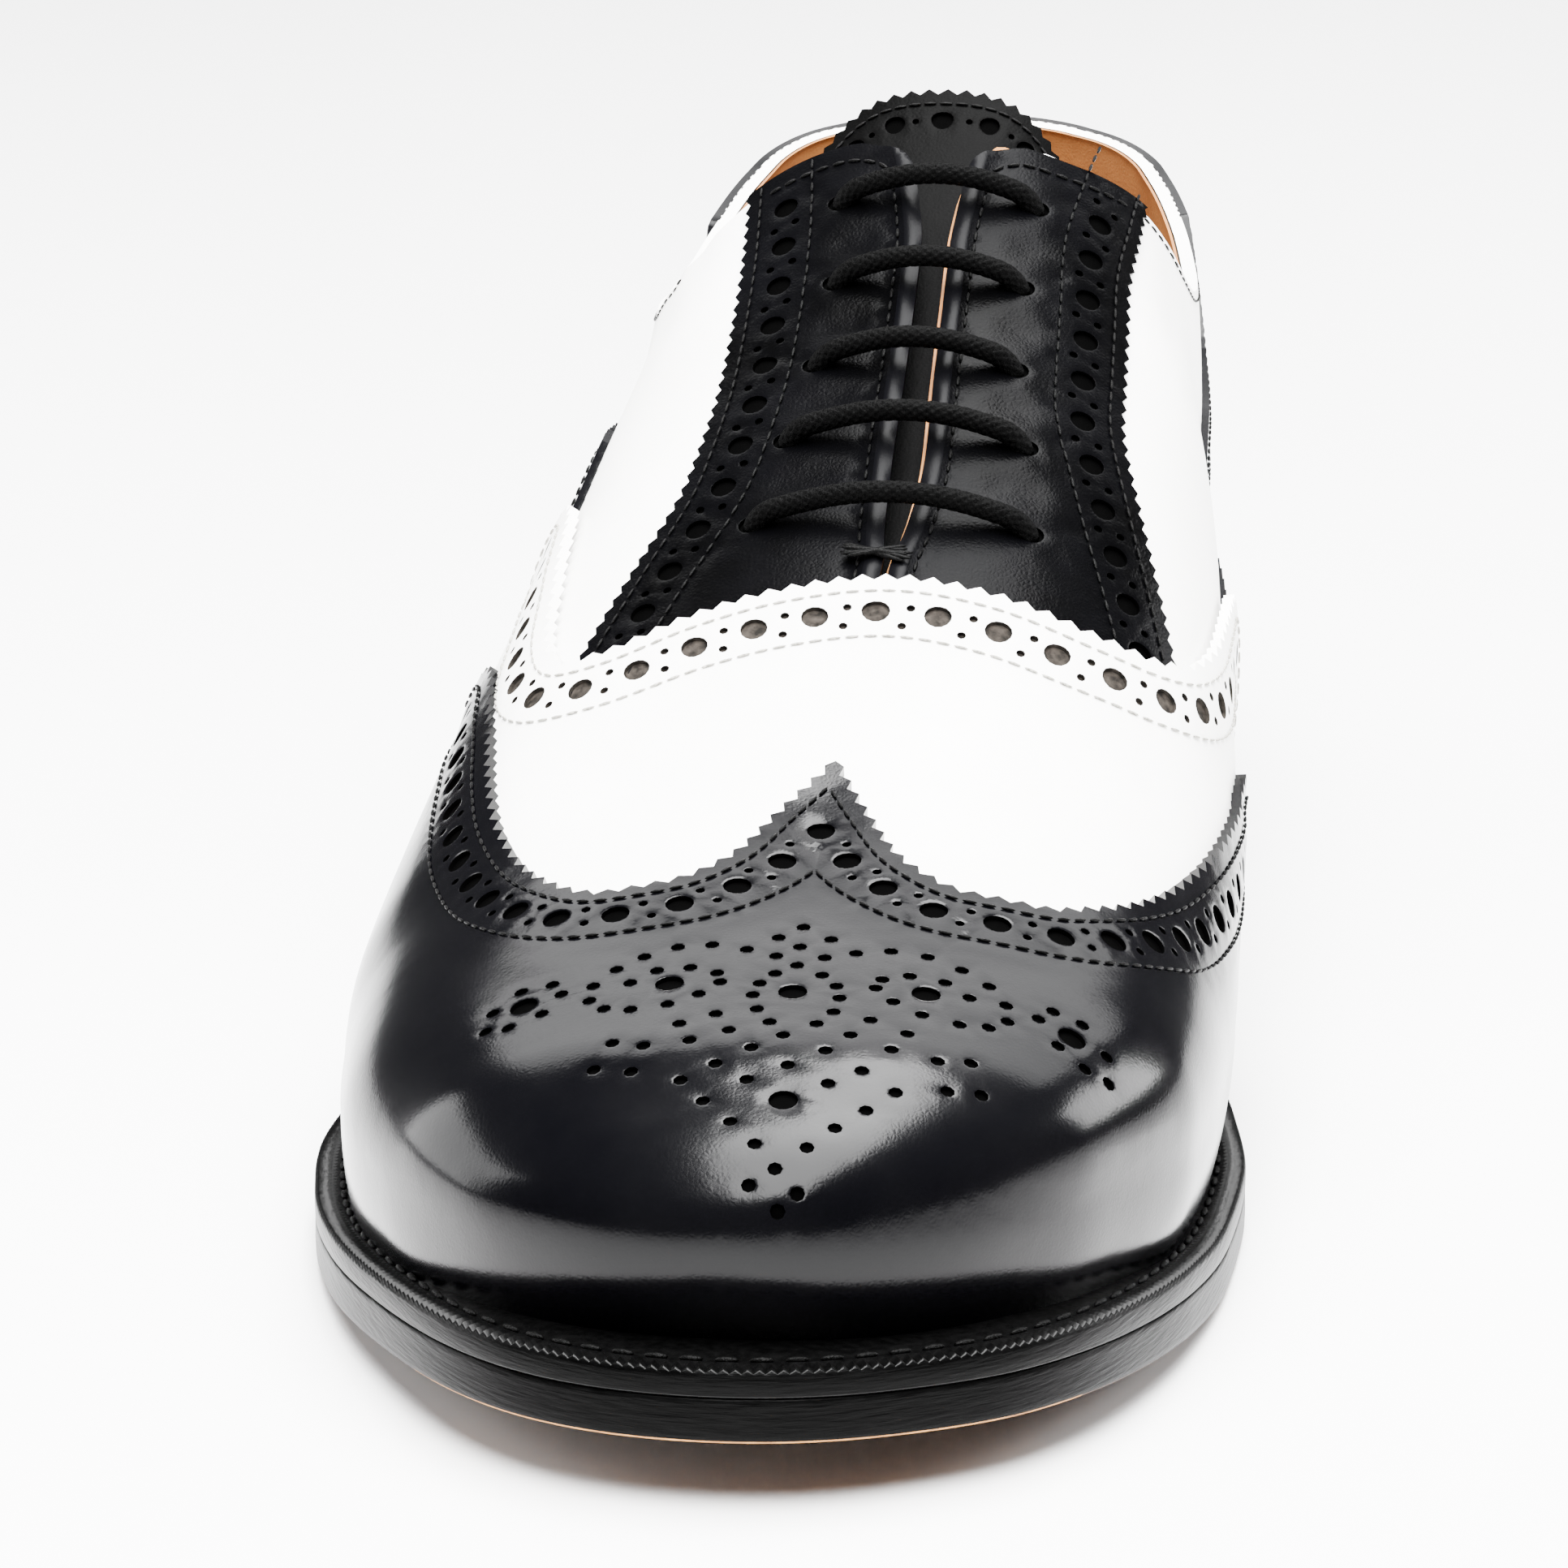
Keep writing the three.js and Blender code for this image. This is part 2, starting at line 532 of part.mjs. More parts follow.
const counterLateral = column(counterEdge, 'lateral');
const counterMedial = column(counterEdge, 'medial');
const quarterShares = range(22, counterEdge[0].at, counterEdge.at(-1).at);
const quarter = sheet(quarterShares, (p) => [counterLateral(p), counterMedial(p)], ...thick, 12);
add('counter', band.subtract(aheadOfVamp).subtract(quarter), 'blackCalf');

// Tongue: a sheet under the facings that drops to leave room for the lace
const tongueEdge = column([
  { at: 0.330, half: 24 }, { at: 0.350, half: 26 }, { at: 0.400, half: 24 }, { at: 0.630, half: 20 },
], 'half');
const tongueTop = slitTop - tongueSize.rise / upperLength;
const tongueOut = (p) => {
  const near = THREE.MathUtils.smoothstep(p, throatShare - 0.02, throatShare + 0.015);
  return -(wall + 2 * clearance + tongueSize.drop * (1 - near));
};
const tongueShares = range(tongueSize.rows, tongueTop, throatShare + 0.03);
add('tongue', sheet(
  tongueShares,
  (p) => [-tongueEdge(p), tongueEdge(p)],
  tongueOut,
  (p) => tongueOut(p) - tongueSize.thickness,
  tongueSize.columns,
), 'blackCalf');

// Sole: outsole, welt round the forepart, rand round the heel seat, and the insole inside them
add('outsole', slab(soleShares, soleEdge, soleBottom, soleTop), 'soleLeather');
const frame = slab(soleShares, soleEdge, (y) => soleTop(y) + clearance, feather).subtract(inside);
const breastShare = heelBreastLength / soleLength;
const split = (from, to) => slab(range(4, from, to), () => wide, (y) => soleBottom(y) - heelHeight, (y) => feather(y) + heelHeight);
const halfGap = clearance / 2 / soleLength;
add('welt', frame.intersect(split(breastShare + halfGap, 1.05)), 'blackEdge');
add('rand', frame.intersect(split(-0.05, breastShare - halfGap)), 'blackEdge');
const footbed = slab(soleShares, () => wide, (y) => soleTop(y) + clearance, (y) => feather(y) + insoleProud);
add('insole', form(-wall - clearance).intersect(footbed), 'insoleLeather');

// Heel: flat lifts of stacked leather on a top piece
function heelShape(inset) {
  const share = (soleHeel - heelBreastLength) - soleHeel;
  const reach = -share / soleLength;
  const rows = range(13, 0.1, 1).map((t) => (1 - Math.cos((Math.PI / 2) * t)) * reach);
  const side = (key) => rows.map((p) => {
    const x = soleEdge(p)[key];
    const back = Math.max(0, 1 - p / 0.08);
    const y = soleHeel - p * soleLength - inset * back;
    return [x - Math.sign(x) * inset, y];
  });
  const lateral = side('lateral');
  const medial = side('medial').reverse();
  const shape = new THREE.Shape([...lateral].reverse().map(([x, y]) => new THREE.Vector2(x, y)));
  medial.reverse().forEach(([x, y]) => shape.lineTo(x, y));
  const [x0, y0] = lateral.at(-1);
  const steps = range(6).slice(1, -1);
  const [x1] = medial.at(-1);
  steps.forEach((t) => shape.lineTo(x1 + (x0 - x1) * t, y0 + 4 * lift.breastHollow * t * (1 - t)));
  return shape;
}

function heelLayer(bottom, top, inset) {
  const geometry = new THREE.ExtrudeGeometry(heelShape(inset), { depth: top - bottom, bevelEnabled: false });
  geometry.translate(0, 0, bottom);
  return solidFrom(geometry);
}

const liftHeight = (heelHeight - lift.topPiece) / lift.count;
for (let i = 0; i < lift.count; i += 1) {
  const top = heelHeight - i * liftHeight;
  add(`heel_lift_${i + 1}`, heelLayer(top - liftHeight, top, lift.rim + i * lift.inset), 'blackEdge');
}
add('heel_top_piece', heelLayer(0, lift.topPiece, lift.rim + lift.count * lift.inset), 'heelRubber');

// Laces: five straight bars, each down through its two holes
function laceBar(row) {
  const radius = lace.diameter / 2;
  const over = clearance + overlay + clearance + radius;
  const inward = (mm) => mm / degree;
  const leg = (turn) => [
    [turn, -wall - lace.tail], [turn, -wall / 2], [turn, clearance + overlay],
    [turn - Math.sign(turn) * inward(radius), over], [turn - Math.sign(turn) * inward(2.6 * radius), over + clearance],
  ];
  const crown = range(4, row.lateral / 2, row.medial / 2).map((turn) => [turn, over + 1.5 * clearance]);
  const knots = [...leg(row.lateral), ...crown, ...leg(row.medial).reverse()]
    .map(([turn, out]) => offPoint(row.at, turn, out));
  const path = new THREE.CatmullRomCurve3(knots, false, 'centripetal');
  const spin = range(lace.sides - 1, 0, lace.sides - 1).map((i) => (2 * Math.PI * i) / lace.sides);
  const section = new THREE.Shape(spin.map((a) => new THREE.Vector2(radius * Math.cos(a), radius * Math.sin(a))));
  const options = { steps: knots.length - 2, extrudePath: path, bevelEnabled: false };
  return solidFrom(new THREE.ExtrudeGeometry(section, options));
}

laceRows.forEach((row) => add(row.name, laceBar(row), 'waxedCotton'));

// The origin lies under the middle of the sole's outline
const reachOf = (side) => Math.max(...range(400).map((p) => Math.abs(soleEdge(p)[side])));
shoe.position.x = (reachOf('lateral') - reachOf('medial')) / 2;

export default shoe;
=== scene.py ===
# A right-foot spectator oxford in black and white calf. The toe points to -Y, the heel to +Y, the
# big-toe side to +X. Shapes are worked out in millimetres and laid into the meshes in metres.
import math

import bmesh
import bpy
import numpy as np
from mathutils import Matrix, Vector, geometry


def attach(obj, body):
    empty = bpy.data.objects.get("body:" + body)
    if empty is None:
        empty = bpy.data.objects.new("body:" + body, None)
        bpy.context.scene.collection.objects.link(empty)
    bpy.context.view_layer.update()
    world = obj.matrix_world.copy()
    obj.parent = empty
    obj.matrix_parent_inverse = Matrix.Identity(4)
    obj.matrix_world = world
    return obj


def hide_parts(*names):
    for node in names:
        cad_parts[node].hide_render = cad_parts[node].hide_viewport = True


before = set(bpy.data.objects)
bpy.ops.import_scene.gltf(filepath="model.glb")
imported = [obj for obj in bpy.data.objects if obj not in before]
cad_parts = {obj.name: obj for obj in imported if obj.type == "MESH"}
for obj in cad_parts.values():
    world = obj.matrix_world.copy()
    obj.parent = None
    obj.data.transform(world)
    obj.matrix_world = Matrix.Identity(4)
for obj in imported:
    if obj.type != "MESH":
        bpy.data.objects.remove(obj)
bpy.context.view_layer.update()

# Sizes of the shoe, in millimetres
SOLE_LENGTH, SOLE_BALL = 300.0, 107.3
SOLE_THICK, WELT_THICK = 5.2, 3.5
HEEL_HEIGHT, HEEL_BREAST, TOE_SPRING = 22.0, 75.0, 7.6
UPPER_LENGTH, UPPER_BALL = 289.0, 102.0
INSTEP, BACK = 80.0, 60.0
HEEL_RIM, WALL = 3.0, 2.0
TOP_PIECE, LIFTS, LIFT_RIM, LIFT_INSET, BREAST_HOLLOW = 6.0, 3, 0.6, 0.4, 3.0
LACE = 2.6
SOLE_HEEL = SOLE_LENGTH / 2
UPPER_HEEL = SOLE_HEEL - HEEL_RIM
BREAST = SOLE_HEEL - HEEL_BREAST
HOLE_DEPTH, BIG_HOLE, SMALL_HOLE, MEDALLION_HOLE, EYELET = 0.55, 1.6, 0.55, 0.82, 1.3
FINE_STEP = 0.6

# Levels of the sole: share of its length from the heel, share of heel height, share of toe spring
SOLE_PROFILE = [
    (0.00, 1.000, 0.00), (0.25, 1.000, 0.00), (0.30, 0.886, 0.00), (0.40, 0.523, 0.00),
    (0.50, 0.182, 0.00), (0.58, 0.027, 0.00), (0.64, 0.000, 0.00), (0.70, 0.000, 0.00),
    (0.78, 0.000, 0.15), (0.86, 0.000, 0.51), (0.94, 0.000, 0.85), (1.00, 0.000, 1.00)]

# Outline of the sole: share of its length, shares of its ball width on the outer and inner side
SOLE_OUTLINE = [
    (0.000, 0.000, 0.000), (0.030, 0.191, 0.191), (0.070, 0.266, 0.261), (0.150, 0.317, 0.308),
    (0.250, 0.322, 0.303), (0.350, 0.331, 0.294), (0.450, 0.387, 0.331), (0.550, 0.463, 0.394),
    (0.630, 0.511, 0.448), (0.700, 0.529, 0.471), (0.760, 0.509, 0.466), (0.830, 0.459, 0.442),
    (0.900, 0.375, 0.385), (0.950, 0.288, 0.302), (0.985, 0.176, 0.169), (1.000, 0.000, 0.000)]

# Sections of the last from heel to toe: share, outer and inner half width, lean of the ridge, crown,
# widest level, underside, roundness
LAST = [
    (0.000, 0.000, 0.000, 0.000, 0.285, 0.285, 0.285, 2.30),
    (0.030, 0.201, 0.196, 0.000, 0.900, 0.281, -0.150, 2.30),
    (0.070, 0.284, 0.279, 0.000, 1.213, 0.269, -0.200, 2.30),
    (0.150, 0.333, 0.328, 0.010, 1.325, 0.231, -0.200, 2.40),
    (0.250, 0.353, 0.353, 0.025, 1.280, 0.181, -0.100, 2.50),
    (0.350, 0.369, 0.361, 0.051, 1.125, 0.191, -0.075, 2.50),
    (0.450, 0.426, 0.404, 0.067, 0.997, 0.231, -0.100, 2.40),
    (0.550, 0.479, 0.433, 0.067, 0.865, 0.230, -0.163, 2.30),
    (0.630, 0.507, 0.454, 0.051, 0.723, 0.205, -0.200, 2.20),
    (0.700, 0.514, 0.464, 0.035, 0.602, 0.175, -0.200, 2.15),
    (0.760, 0.496, 0.462, 0.030, 0.513, 0.158, -0.200, 2.20),
    (0.830, 0.464, 0.446, 0.032, 0.436, 0.157, -0.200, 2.30),
    (0.900, 0.389, 0.373, 0.038, 0.362, 0.157, -0.200, 2.30),
    (0.950, 0.293, 0.282, 0.036, 0.310, 0.164, -0.163, 2.30),
    (0.985, 0.166, 0.164, 0.027, 0.254, 0.164, -0.020, 2.30),
    (1.000, 0.000, 0.000, 0.000, 0.162, 0.162, 0.162, 2.30)]
UNDER_ROUND = (3.0, 2.5)

# Collar: share of the upper's length, height above the heel seat on each side as a share of the back
COLLAR = [
    (0.000, 0.970, 0.970), (0.035, 0.955, 0.955), (0.080, 0.885, 0.895), (0.130, 0.815, 0.840),
    (0.180, 0.785, 0.820), (0.230, 0.785, 0.830), (0.285, 0.810, 0.870), (0.326, 0.845, 0.955),
    (0.352, 0.907, 1.069), (0.366, 0.957, 1.139), (0.378, 1.014, 1.196), (0.386, 1.131, 1.243)]
SLIT = [(0.380, 4.6), (0.412, 2.8), (0.447, 1.7), (0.500, 1.7), (0.554, 1.9), (0.585, 1.4), (0.604, 0.5)]
LACE_ROWS = [
    ("lace_bar_1", 0.582, -17.5, 18.0), ("lace_bar_2", 0.541, -15.0, 15.2),
    ("lace_bar_3", 0.502, -12.8, 12.4), ("lace_bar_4", 0.459, -12.0, 12.0),
    ("lace_bar_5", 0.417, -13.0, 13.6)]

# Pattern lines: share of the upper's length, degrees round the section (0 ridge, 90 widest, - outer side)
WING_OUTER = [
    (0.520, -118), (0.525, -95), (0.535, -80), (0.573, -62), (0.631, -53.5), (0.683, -48), (0.729, -43),
    (0.777, -35), (0.801, -24), (0.798, -16), (0.782, -9.3), (0.750, -4.6), (0.719, 0)]
WING_INNER = [
    (0.719, 0), (0.750, 4.6), (0.782, 10.5), (0.797, 19), (0.795, 29), (0.776, 40), (0.736, 51.5),
    (0.689, 60), (0.628, 68.5), (0.565, 76), (0.535, 86), (0.525, 98), (0.520, 118)]
VAMP = [
    (0.455, -118), (0.458, -95), (0.462, -78), (0.474, -64), (0.500, -54.5), (0.553, -50), (0.600, -46),
    (0.628, -40), (0.634, -32), (0.629, -22), (0.622, -10), (0.617, 2), (0.619, 14), (0.621, 27),
    (0.616, 38), (0.600, 48), (0.568, 56), (0.520, 62.5), (0.484, 68), (0.466, 77), (0.458, 95),
    (0.455, 118)]
FACING_OUTER = [
    (0.330, -33), (0.386, -30.5), (0.440, -28.2), (0.500, -27), (0.544, -28.5), (0.586, -34),
    (0.621, -38.2), (0.660, -42)]
FACING_INNER = [
    (0.330, 45), (0.386, 36.5), (0.440, 31.5), (0.500, 31.5), (0.544, 36.5), (0.586, 44.5), (0.621, 52),
    (0.660, 60)]
COUNTER_OUTER = [
    (0.055, -20), (0.085, -52), (0.105, -67), (0.125, -74), (0.155, -79), (0.190, -81.5), (0.240, -82),
    (0.300, -79), (0.350, -73), (0.400, -65.5), (0.440, -60.5), (0.480, -61), (0.540, -64),
    (0.680, -66)]
COUNTER_INNER = [
    (0.055, 20), (0.085, 52), (0.105, 67), (0.125, 74), (0.155, 78.5), (0.190, 80.5), (0.240, 81),
    (0.300, 80), (0.350, 78.5), (0.400, 77), (0.440, 76), (0.480, 75), (0.540, 72), (0.680, 70)]
TONGUE = [
    (0.630, -20), (0.500, -22), (0.400, -24), (0.372, -24.5), (0.357, -19), (0.348, -9), (0.346, 1),
    (0.348, 10), (0.357, 20), (0.372, 25.5), (0.400, 24), (0.500, 22), (0.630, 20)]

# Medallion, charted as share of the length and degrees to each side of the ridge
MEDALLION_SMALL = [
    (.832, 0, None), (.848, 0, None), (.863, 0, None), (.918, 0, None), (.937, 1.3, None),
    (.990, 9.7, None), (.998, 49.5, None), (.841, -2, 2.8), (.856, -2, 2.5), (.870, -1.9, 2.6),
    (.878, -3.5, 4.6), (.887, -4.2, 5.4), (.898, -3.5, 5.2), (.908, -1.7, 3.5), (.851, -5.3, 6),
    (.847, -9.5, 10.3), (.848, -13.9, 15.4), (.854, -18.5, 20.9), (.862, -22.7, 26.1),
    (.873, -26.7, 30.5), (.884, -27.9, 32.6), (.892, -25.9, 30.3), (.895, -21.7, 25.2),
    (.893, -15.9, 18.3), (.886, -11.3, 13), (.877, -8.4, 9.8), (.870, -8.8, 10.3), (.865, -12.3, 13.9),
    (.866, -16.9, 19.3), (.874, -21, 24.1), (.902, -8.9, 10.9), (.909, -14.3, 17.8), (.915, -6.9, 9),
    (.922, -12.9, 16.9), (.927, -3.5, 6.2), (.937, -8.9, 13.9), (.946, -15.5, 23.4),
    (.866, -33.1, 38.7), (.875, -32.1, 37.3), (.866, -38.6, 45.3), (.876, -45, 54.8),
    (.887, -36.5, 44.6), (.891, -43.5, 53.6), (.888, -48, 60.8), (.924, -20.8, 26.5),
    (.920, -26.1, 32.8), (.939, -24.6, 33.8), (.935, -31.7, 41.5), (.946, -3.7, 8.9),
    (.958, -11.8, 20.3), (.970, -6.2, 16.9), (.981, -0.1, 14.4), (.995, 3.5, 36.6)]
MEDALLION_LARGE = [(.884, 0, None), (.957, 2.1, None), (.877, -15.3, 17.3), (.878, -39.1, 45.7)]


# The last as a surface
def curve(xs, ys):
    """Smooth curve through a table column that never overshoots its rows."""
    xs, ys = np.array(xs, float), np.array(ys, float)
    h = np.diff(xs)
    d = np.diff(ys) / h
    slope = np.zeros(len(xs))
    for i in range(1, len(xs) - 1):
        if d[i - 1] * d[i] > 0:
            w1, w2 = 2 * h[i] + h[i - 1], h[i] + 2 * h[i - 1]
            slope[i] = (w1 + w2) / (w1 / d[i - 1] + w2 / d[i])
    for end, near, far in ((0, 0, min(1, len(h) - 1)), (-1, -1, max(-2, -len(h)))):
        s = ((2 * h[near] + h[far]) * d[near] - h[near] * d[far]) / (h[near] + h[far])
        if np.sign(s) != np.sign(d[near]):
            s = 0
        elif np.sign(d[near]) != np.sign(d[far]) and abs(s) > 3 * abs(d[near]):
            s = 3 * d[near]
        slope[end] = s

    def at(x):
        x = np.asarray(x, float)
        i = np.clip(np.searchsorted(xs, x) - 1, 0, len(h) - 1)
        t = np.clip((x - xs[i]) / h[i], 0, 1)
        a = (1 + 2 * t) * (1 - t) ** 2 * ys[i] + t * t * (3 - 2 * t) * ys[i + 1]
        return a + h[i] * (t * (1 - t) ** 2 * slope[i] + t * t * (t - 1) * slope[i + 1])

    return at


def round_share(share):
    return np.arccos(np.clip(1 - 2 * np.asarray(share, float), -1, 1))


def column(table, k, rounded=False):
    rows = np.array(table, float)
    return curve(round_share(rows[:, 0]) if rounded else rows[:, 0], rows[:, k])


heel_level, spring_level = column(SOLE_PROFILE, 1), column(SOLE_PROFILE, 2)
sole_outer, sole_inner = column(SOLE_OUTLINE, 1, True), column(SOLE_OUTLINE, 2, True)
sections = [column(LAST, k, True) for k in range(1, 8)]
collar_outer, collar_inner = column(COLLAR, 1), column(COLLAR, 2)
slit_half = column(SLIT, 1)


def sole_bottom(y):
    share = np.clip((SOLE_HEEL - np.asarray(y, float)) / SOLE_LENGTH, 0, 1)
    return HEEL_HEIGHT * heel_level(share) + TOE_SPRING * spring_level(share)


def feather(y):
    return sole_bottom(y) + SOLE_THICK + WELT_THICK


reach = np.linspace(0, 1, 401)
SHIFT = SOLE_BALL * (sole_outer(round_share(reach)).max() - sole_inner(round_share(reach)).max()) / 2


def on_last(theta, bearing):
    """Points of the last: theta is the rounded share of the length from the heel, bearing goes round."""
    y = UPPER_HEEL - UPPER_LENGTH * (1 - np.cos(theta)) / 2
    outer, inner, lean, crown, widest, under, rounding = (f(theta) for f in sections)
    above = np.abs(bearing) <= np.pi / 2
    n = np.where(above, rounding, np.where(bearing < 0, *UNDER_ROUND))
    s, c = np.abs(np.sin(bearing)), np.abs(np.cos(bearing))
    size = (s ** n + c ** n) ** (1 / n)
    width = np.where(bearing < 0, -outer, inner) * UPPER_BALL
    x = width * s / size + np.where(above, lean * UPPER_BALL * c / size, 0)
    z = feather(y) + INSTEP * (widest + (np.where(above, crown, under) - widest) * c / size)
    return np.stack([x + SHIFT, y, z], -1)


def bearing_of(share, turn):
    """Bearing of a point charted in degrees round the section."""
    turn = np.radians(np.asarray(turn, float))
    above = np.abs(turn) <= np.pi / 2
    n = np.where(above, sections[6](round_share(share)), np.where(turn < 0, *UNDER_ROUND))
    b = np.arctan2(np.abs(np.sin(turn)) ** (2 / n), np.abs(np.cos(turn)) ** (2 / n))
    return np.where(turn < 0, -1, 1) * np.where(above, b, np.pi - b)


# Leather is cut flat: a pattern is drawn round the toe or round the heel, distance from the tip of
# the last by bearing, and each piece is then lasted
TOE, HEEL = "toe", "heel"


def from_tip(far, bearing):
    """Place on the pattern at a distance and a bearing from the tip of the last."""
    return np.stack([far * np.sin(bearing), far * np.cos(bearing)], -1)


def chart(plane, share, bearing):
    far = round_share(share)
    return from_tip(np.pi - far if plane == TOE else far, bearing)


def charted(plane, rows):
    rows = np.array(rows, float)
    return chart(plane, rows[:, 0], bearing_of(rows[:, 0], rows[:, 1]))


def polar(plane, q):
    far = np.hypot(q[..., 0], q[..., 1])
    return (np.pi - far if plane == TOE else far), np.arctan2(q[..., 0], q[..., 1])


def share_of(plane, q):
    return (1 - np.cos(polar(plane, q)[0])) / 2


def skin(plane, q):
    return on_last(*polar(plane, q))


def spread(plane, q, e=2e-3):
    across, along = np.array([e, 0]), np.array([0, e])
    dx = (skin(plane, q + across) - skin(plane, q - across)) / (2 * e)
    dy = (skin(plane, q + along) - skin(plane, q - along)) / (2 * e)
    return dx, dy


def outward(plane, q):
    dx, dy = spread(plane, q)
    n = np.cross(dx, dy) if plane == TOE else np.cross(dy, dx)
    return n / np.linalg.norm(n, axis=-1, keepdims=True)


def lasted(plane, q, out):
    return skin(plane, q) + outward(plane, q) * np.asarray(out)[..., None]


def slide(plane, q, way, amount):
    """Moves points over the leather by an amount along a direction in space."""
    dx, dy = spread(plane, q)
    a, b, c = (dx * dx).sum(-1), (dx * dy).sum(-1), (dy * dy).sum(-1)
    u, v = (way * dx).sum(-1), (way * dy).sum(-1)
    det = a * c - b * b
    return q + np.stack([(c * u - b * v) / det, (a * v - b * u) / det], -1) * np.asarray(amount)[..., None]


def run_of(points):
    """Distance from a line's start to each of its points."""
    return np.concatenate([[0], np.cumsum(np.linalg.norm(np.diff(points, axis=0), axis=1))])


def at_run(line, run, u):
    """Places on a line at the given distances from its start."""
    return np.stack([np.interp(u, run, line[:, k]) for k in range(line.shape[1])], -1)


def even(plane, line, step):
    """A line cut into equal steps on the leather."""
    run = run_of(skin(plane, line))
    return at_run(line, run, np.linspace(0, run[-1], max(2, round(run[-1] / step)) + 1))


def drawn(plane, rows, step=FINE_STEP):
    """A smooth pattern line through charted rows."""
    rows = np.array(rows, float)
    gaps = np.hypot(np.diff(rows[:, 0]) * UPPER_LENGTH, np.diff(rows[:, 1]) * UPPER_BALL / 140)
    run = np.concatenate([[0], np.cumsum(gaps)])
    u = np.linspace(0, run[-1], 900)
    at = np.stack([curve(run, rows[:, 0])(u), curve(run, rows[:, 1])(u)], -1)
    return even(plane, charted(plane, at), step)


def leftward(plane, line):
    along = np.gradient(skin(plane, line), axis=0)
    left = np.cross(outward(plane, line), along)
    return left / np.linalg.norm(left, axis=-1, keepdims=True)


def nearest(points, line, block=2000):
    far = [np.linalg.norm(points[i:i + block, None] - line[None], axis=-1).min(1)
           for i in range(0, len(points), block)]
    return np.concatenate(far) if far else np.zeros(0)


def beside(plane, line, amount, steps=3):
    """The line moved sideways over the leather, to the left where the amount is positive."""
    way = leftward(plane, line)
    q = line
    for _ in range(steps):
        n = outward(plane, q)
        flat = way - n * (way * n).sum(-1, keepdims=True)
        flat /= np.linalg.norm(flat, axis=-1, keepdims=True)
        q = slide(plane, q, flat, np.full(len(q), amount / steps))
    q = q[nearest(skin(plane, q), skin(plane, line)) > 0.93 * abs(amount)]
    return even(plane, q, FINE_STEP)


def crossing(a, b):
    """First place along a where it meets b: index on a, index on b, point."""
    p, r = a[:-1, None], np.diff(a, axis=0)[:, None]
    q, s = b[None, :-1], np.diff(b, axis=0)[None]
    det = r[..., 0] * s[..., 1] - r[..., 1] * s[..., 0]
    det = np.where(np.abs(det) < 1e-15, 1e-15, det)
    w = q - p
    t = (w[..., 0] * s[..., 1] - w[..., 1] * s[..., 0]) / det
    u = (w[..., 0] * r[..., 1] - w[..., 1] * r[..., 0]) / det
    hits = np.argwhere((t >= 0) & (t <= 1) & (u >= 0) & (u <= 1))
    if not len(hits):
        return None
    i, j = hits[0]
    return i, j, a[i] + r[i, 0] * t[i, j]


def joined(parts):
    """Closed outline from lines that follow each other, each cut where it meets the next."""
    parts = [np.array(part) for part in parts]
    for k in range(len(parts)):
        a, b = parts[k], parts[(k + 1) % len(parts)]
        hit = crossing(a, b)
        if hit:
            i, j, point = hit
            parts[k] = np.vstack([a[:i + 1], point])
            parts[(k + 1) % len(parts)] = np.vstack([point, b[j + 1:]])
    return parts


def inside(points, loop):
    x, y = points[:, 0], points[:, 1]
    hit = np.zeros(len(points), bool)
    for (x0, y0), (x1, y1) in zip(loop, np.roll(loop, -1, axis=0)):
        span = (y0 > y) != (y1 > y)
        if y1 != y0:
            hit ^= span & (x < (x1 - x0) * (y - y0) / (y1 - y0) + x0)
    return hit


def gimped(plane, line, depth=1.0, pitch=2.7):
    """Edge cut with the pinking shears."""
    q = even(plane, line, pitch / 2)
    swing = np.where(np.arange(len(q)) % 2, 0.5, -0.5) * depth
    swing[[0, -1]] = 0
    return slide(plane, q, leftward(plane, q), swing)


def smooth(t):
    t = np.clip(t, 0, 1)
    return t * t * (3 - 2 * t)


def lower_edge(plane, side, start, end, below=1.0, count=260):
    """Where the upper runs into the welt, from one share to another. An end past the tip stops there."""
    t = np.linspace(0, 1, count)
    share = start + (end - start) * (1 - (1 - t) ** 2)
    theta = round_share(share)
    widest, under = sections[4](theta), sections[5](theta)
    f = (widest + below / INSTEP) / (widest - under)
    ok = f < 0.9995
    n = UNDER_ROUND[0 if side < 0 else 1]
    b = np.arctan2((1 - f[ok] ** n) ** (1 / n), f[ok])
    return chart(plane, share[ok], side * (np.pi - b))


# Leather pieces
def lattice(plane, loop, gap):
    """Points spread evenly over a piece of leather."""
    b = np.linspace(-np.pi, np.pi, 181)
    far_max = np.hypot(*loop.T).max()
    far, rows, k = 0.004, [], 0
    while far < far_max:
        ring = from_tip(far, b)
        p = skin(plane, ring)
        run = run_of(p)
        count = max(3, int(run[-1] / gap))
        u = (np.arange(count) + 0.5 * (k % 2)) / count * run[-1]
        turn = np.interp(u, run, b)
        rows.append(from_tip(far, turn))
        step = skin(plane, ring * (1 + 1e-3)) - p
        far += 0.87 * gap / (np.linalg.norm(step, axis=1).max() / (far * 1e-3))
        k += 1
    points = np.vstack(rows)
    return points[inside(points, loop)]


def level(plane, base, edge=None, rise=0.0, over=15.0, also=None):
    """Height of a leather's face above the last, higher along an edge that overlaps its neighbour."""
    line = None if edge is None else skin(plane, edge)[::2]

    def out(q):
        h = np.full(len(q), float(base))
        if line is not None:
            h += rise * (1 - smooth(nearest(skin(plane, q), line) / over))
        if also:
            h += also(plane, q)
        return h + crease(plane, q)

    return out


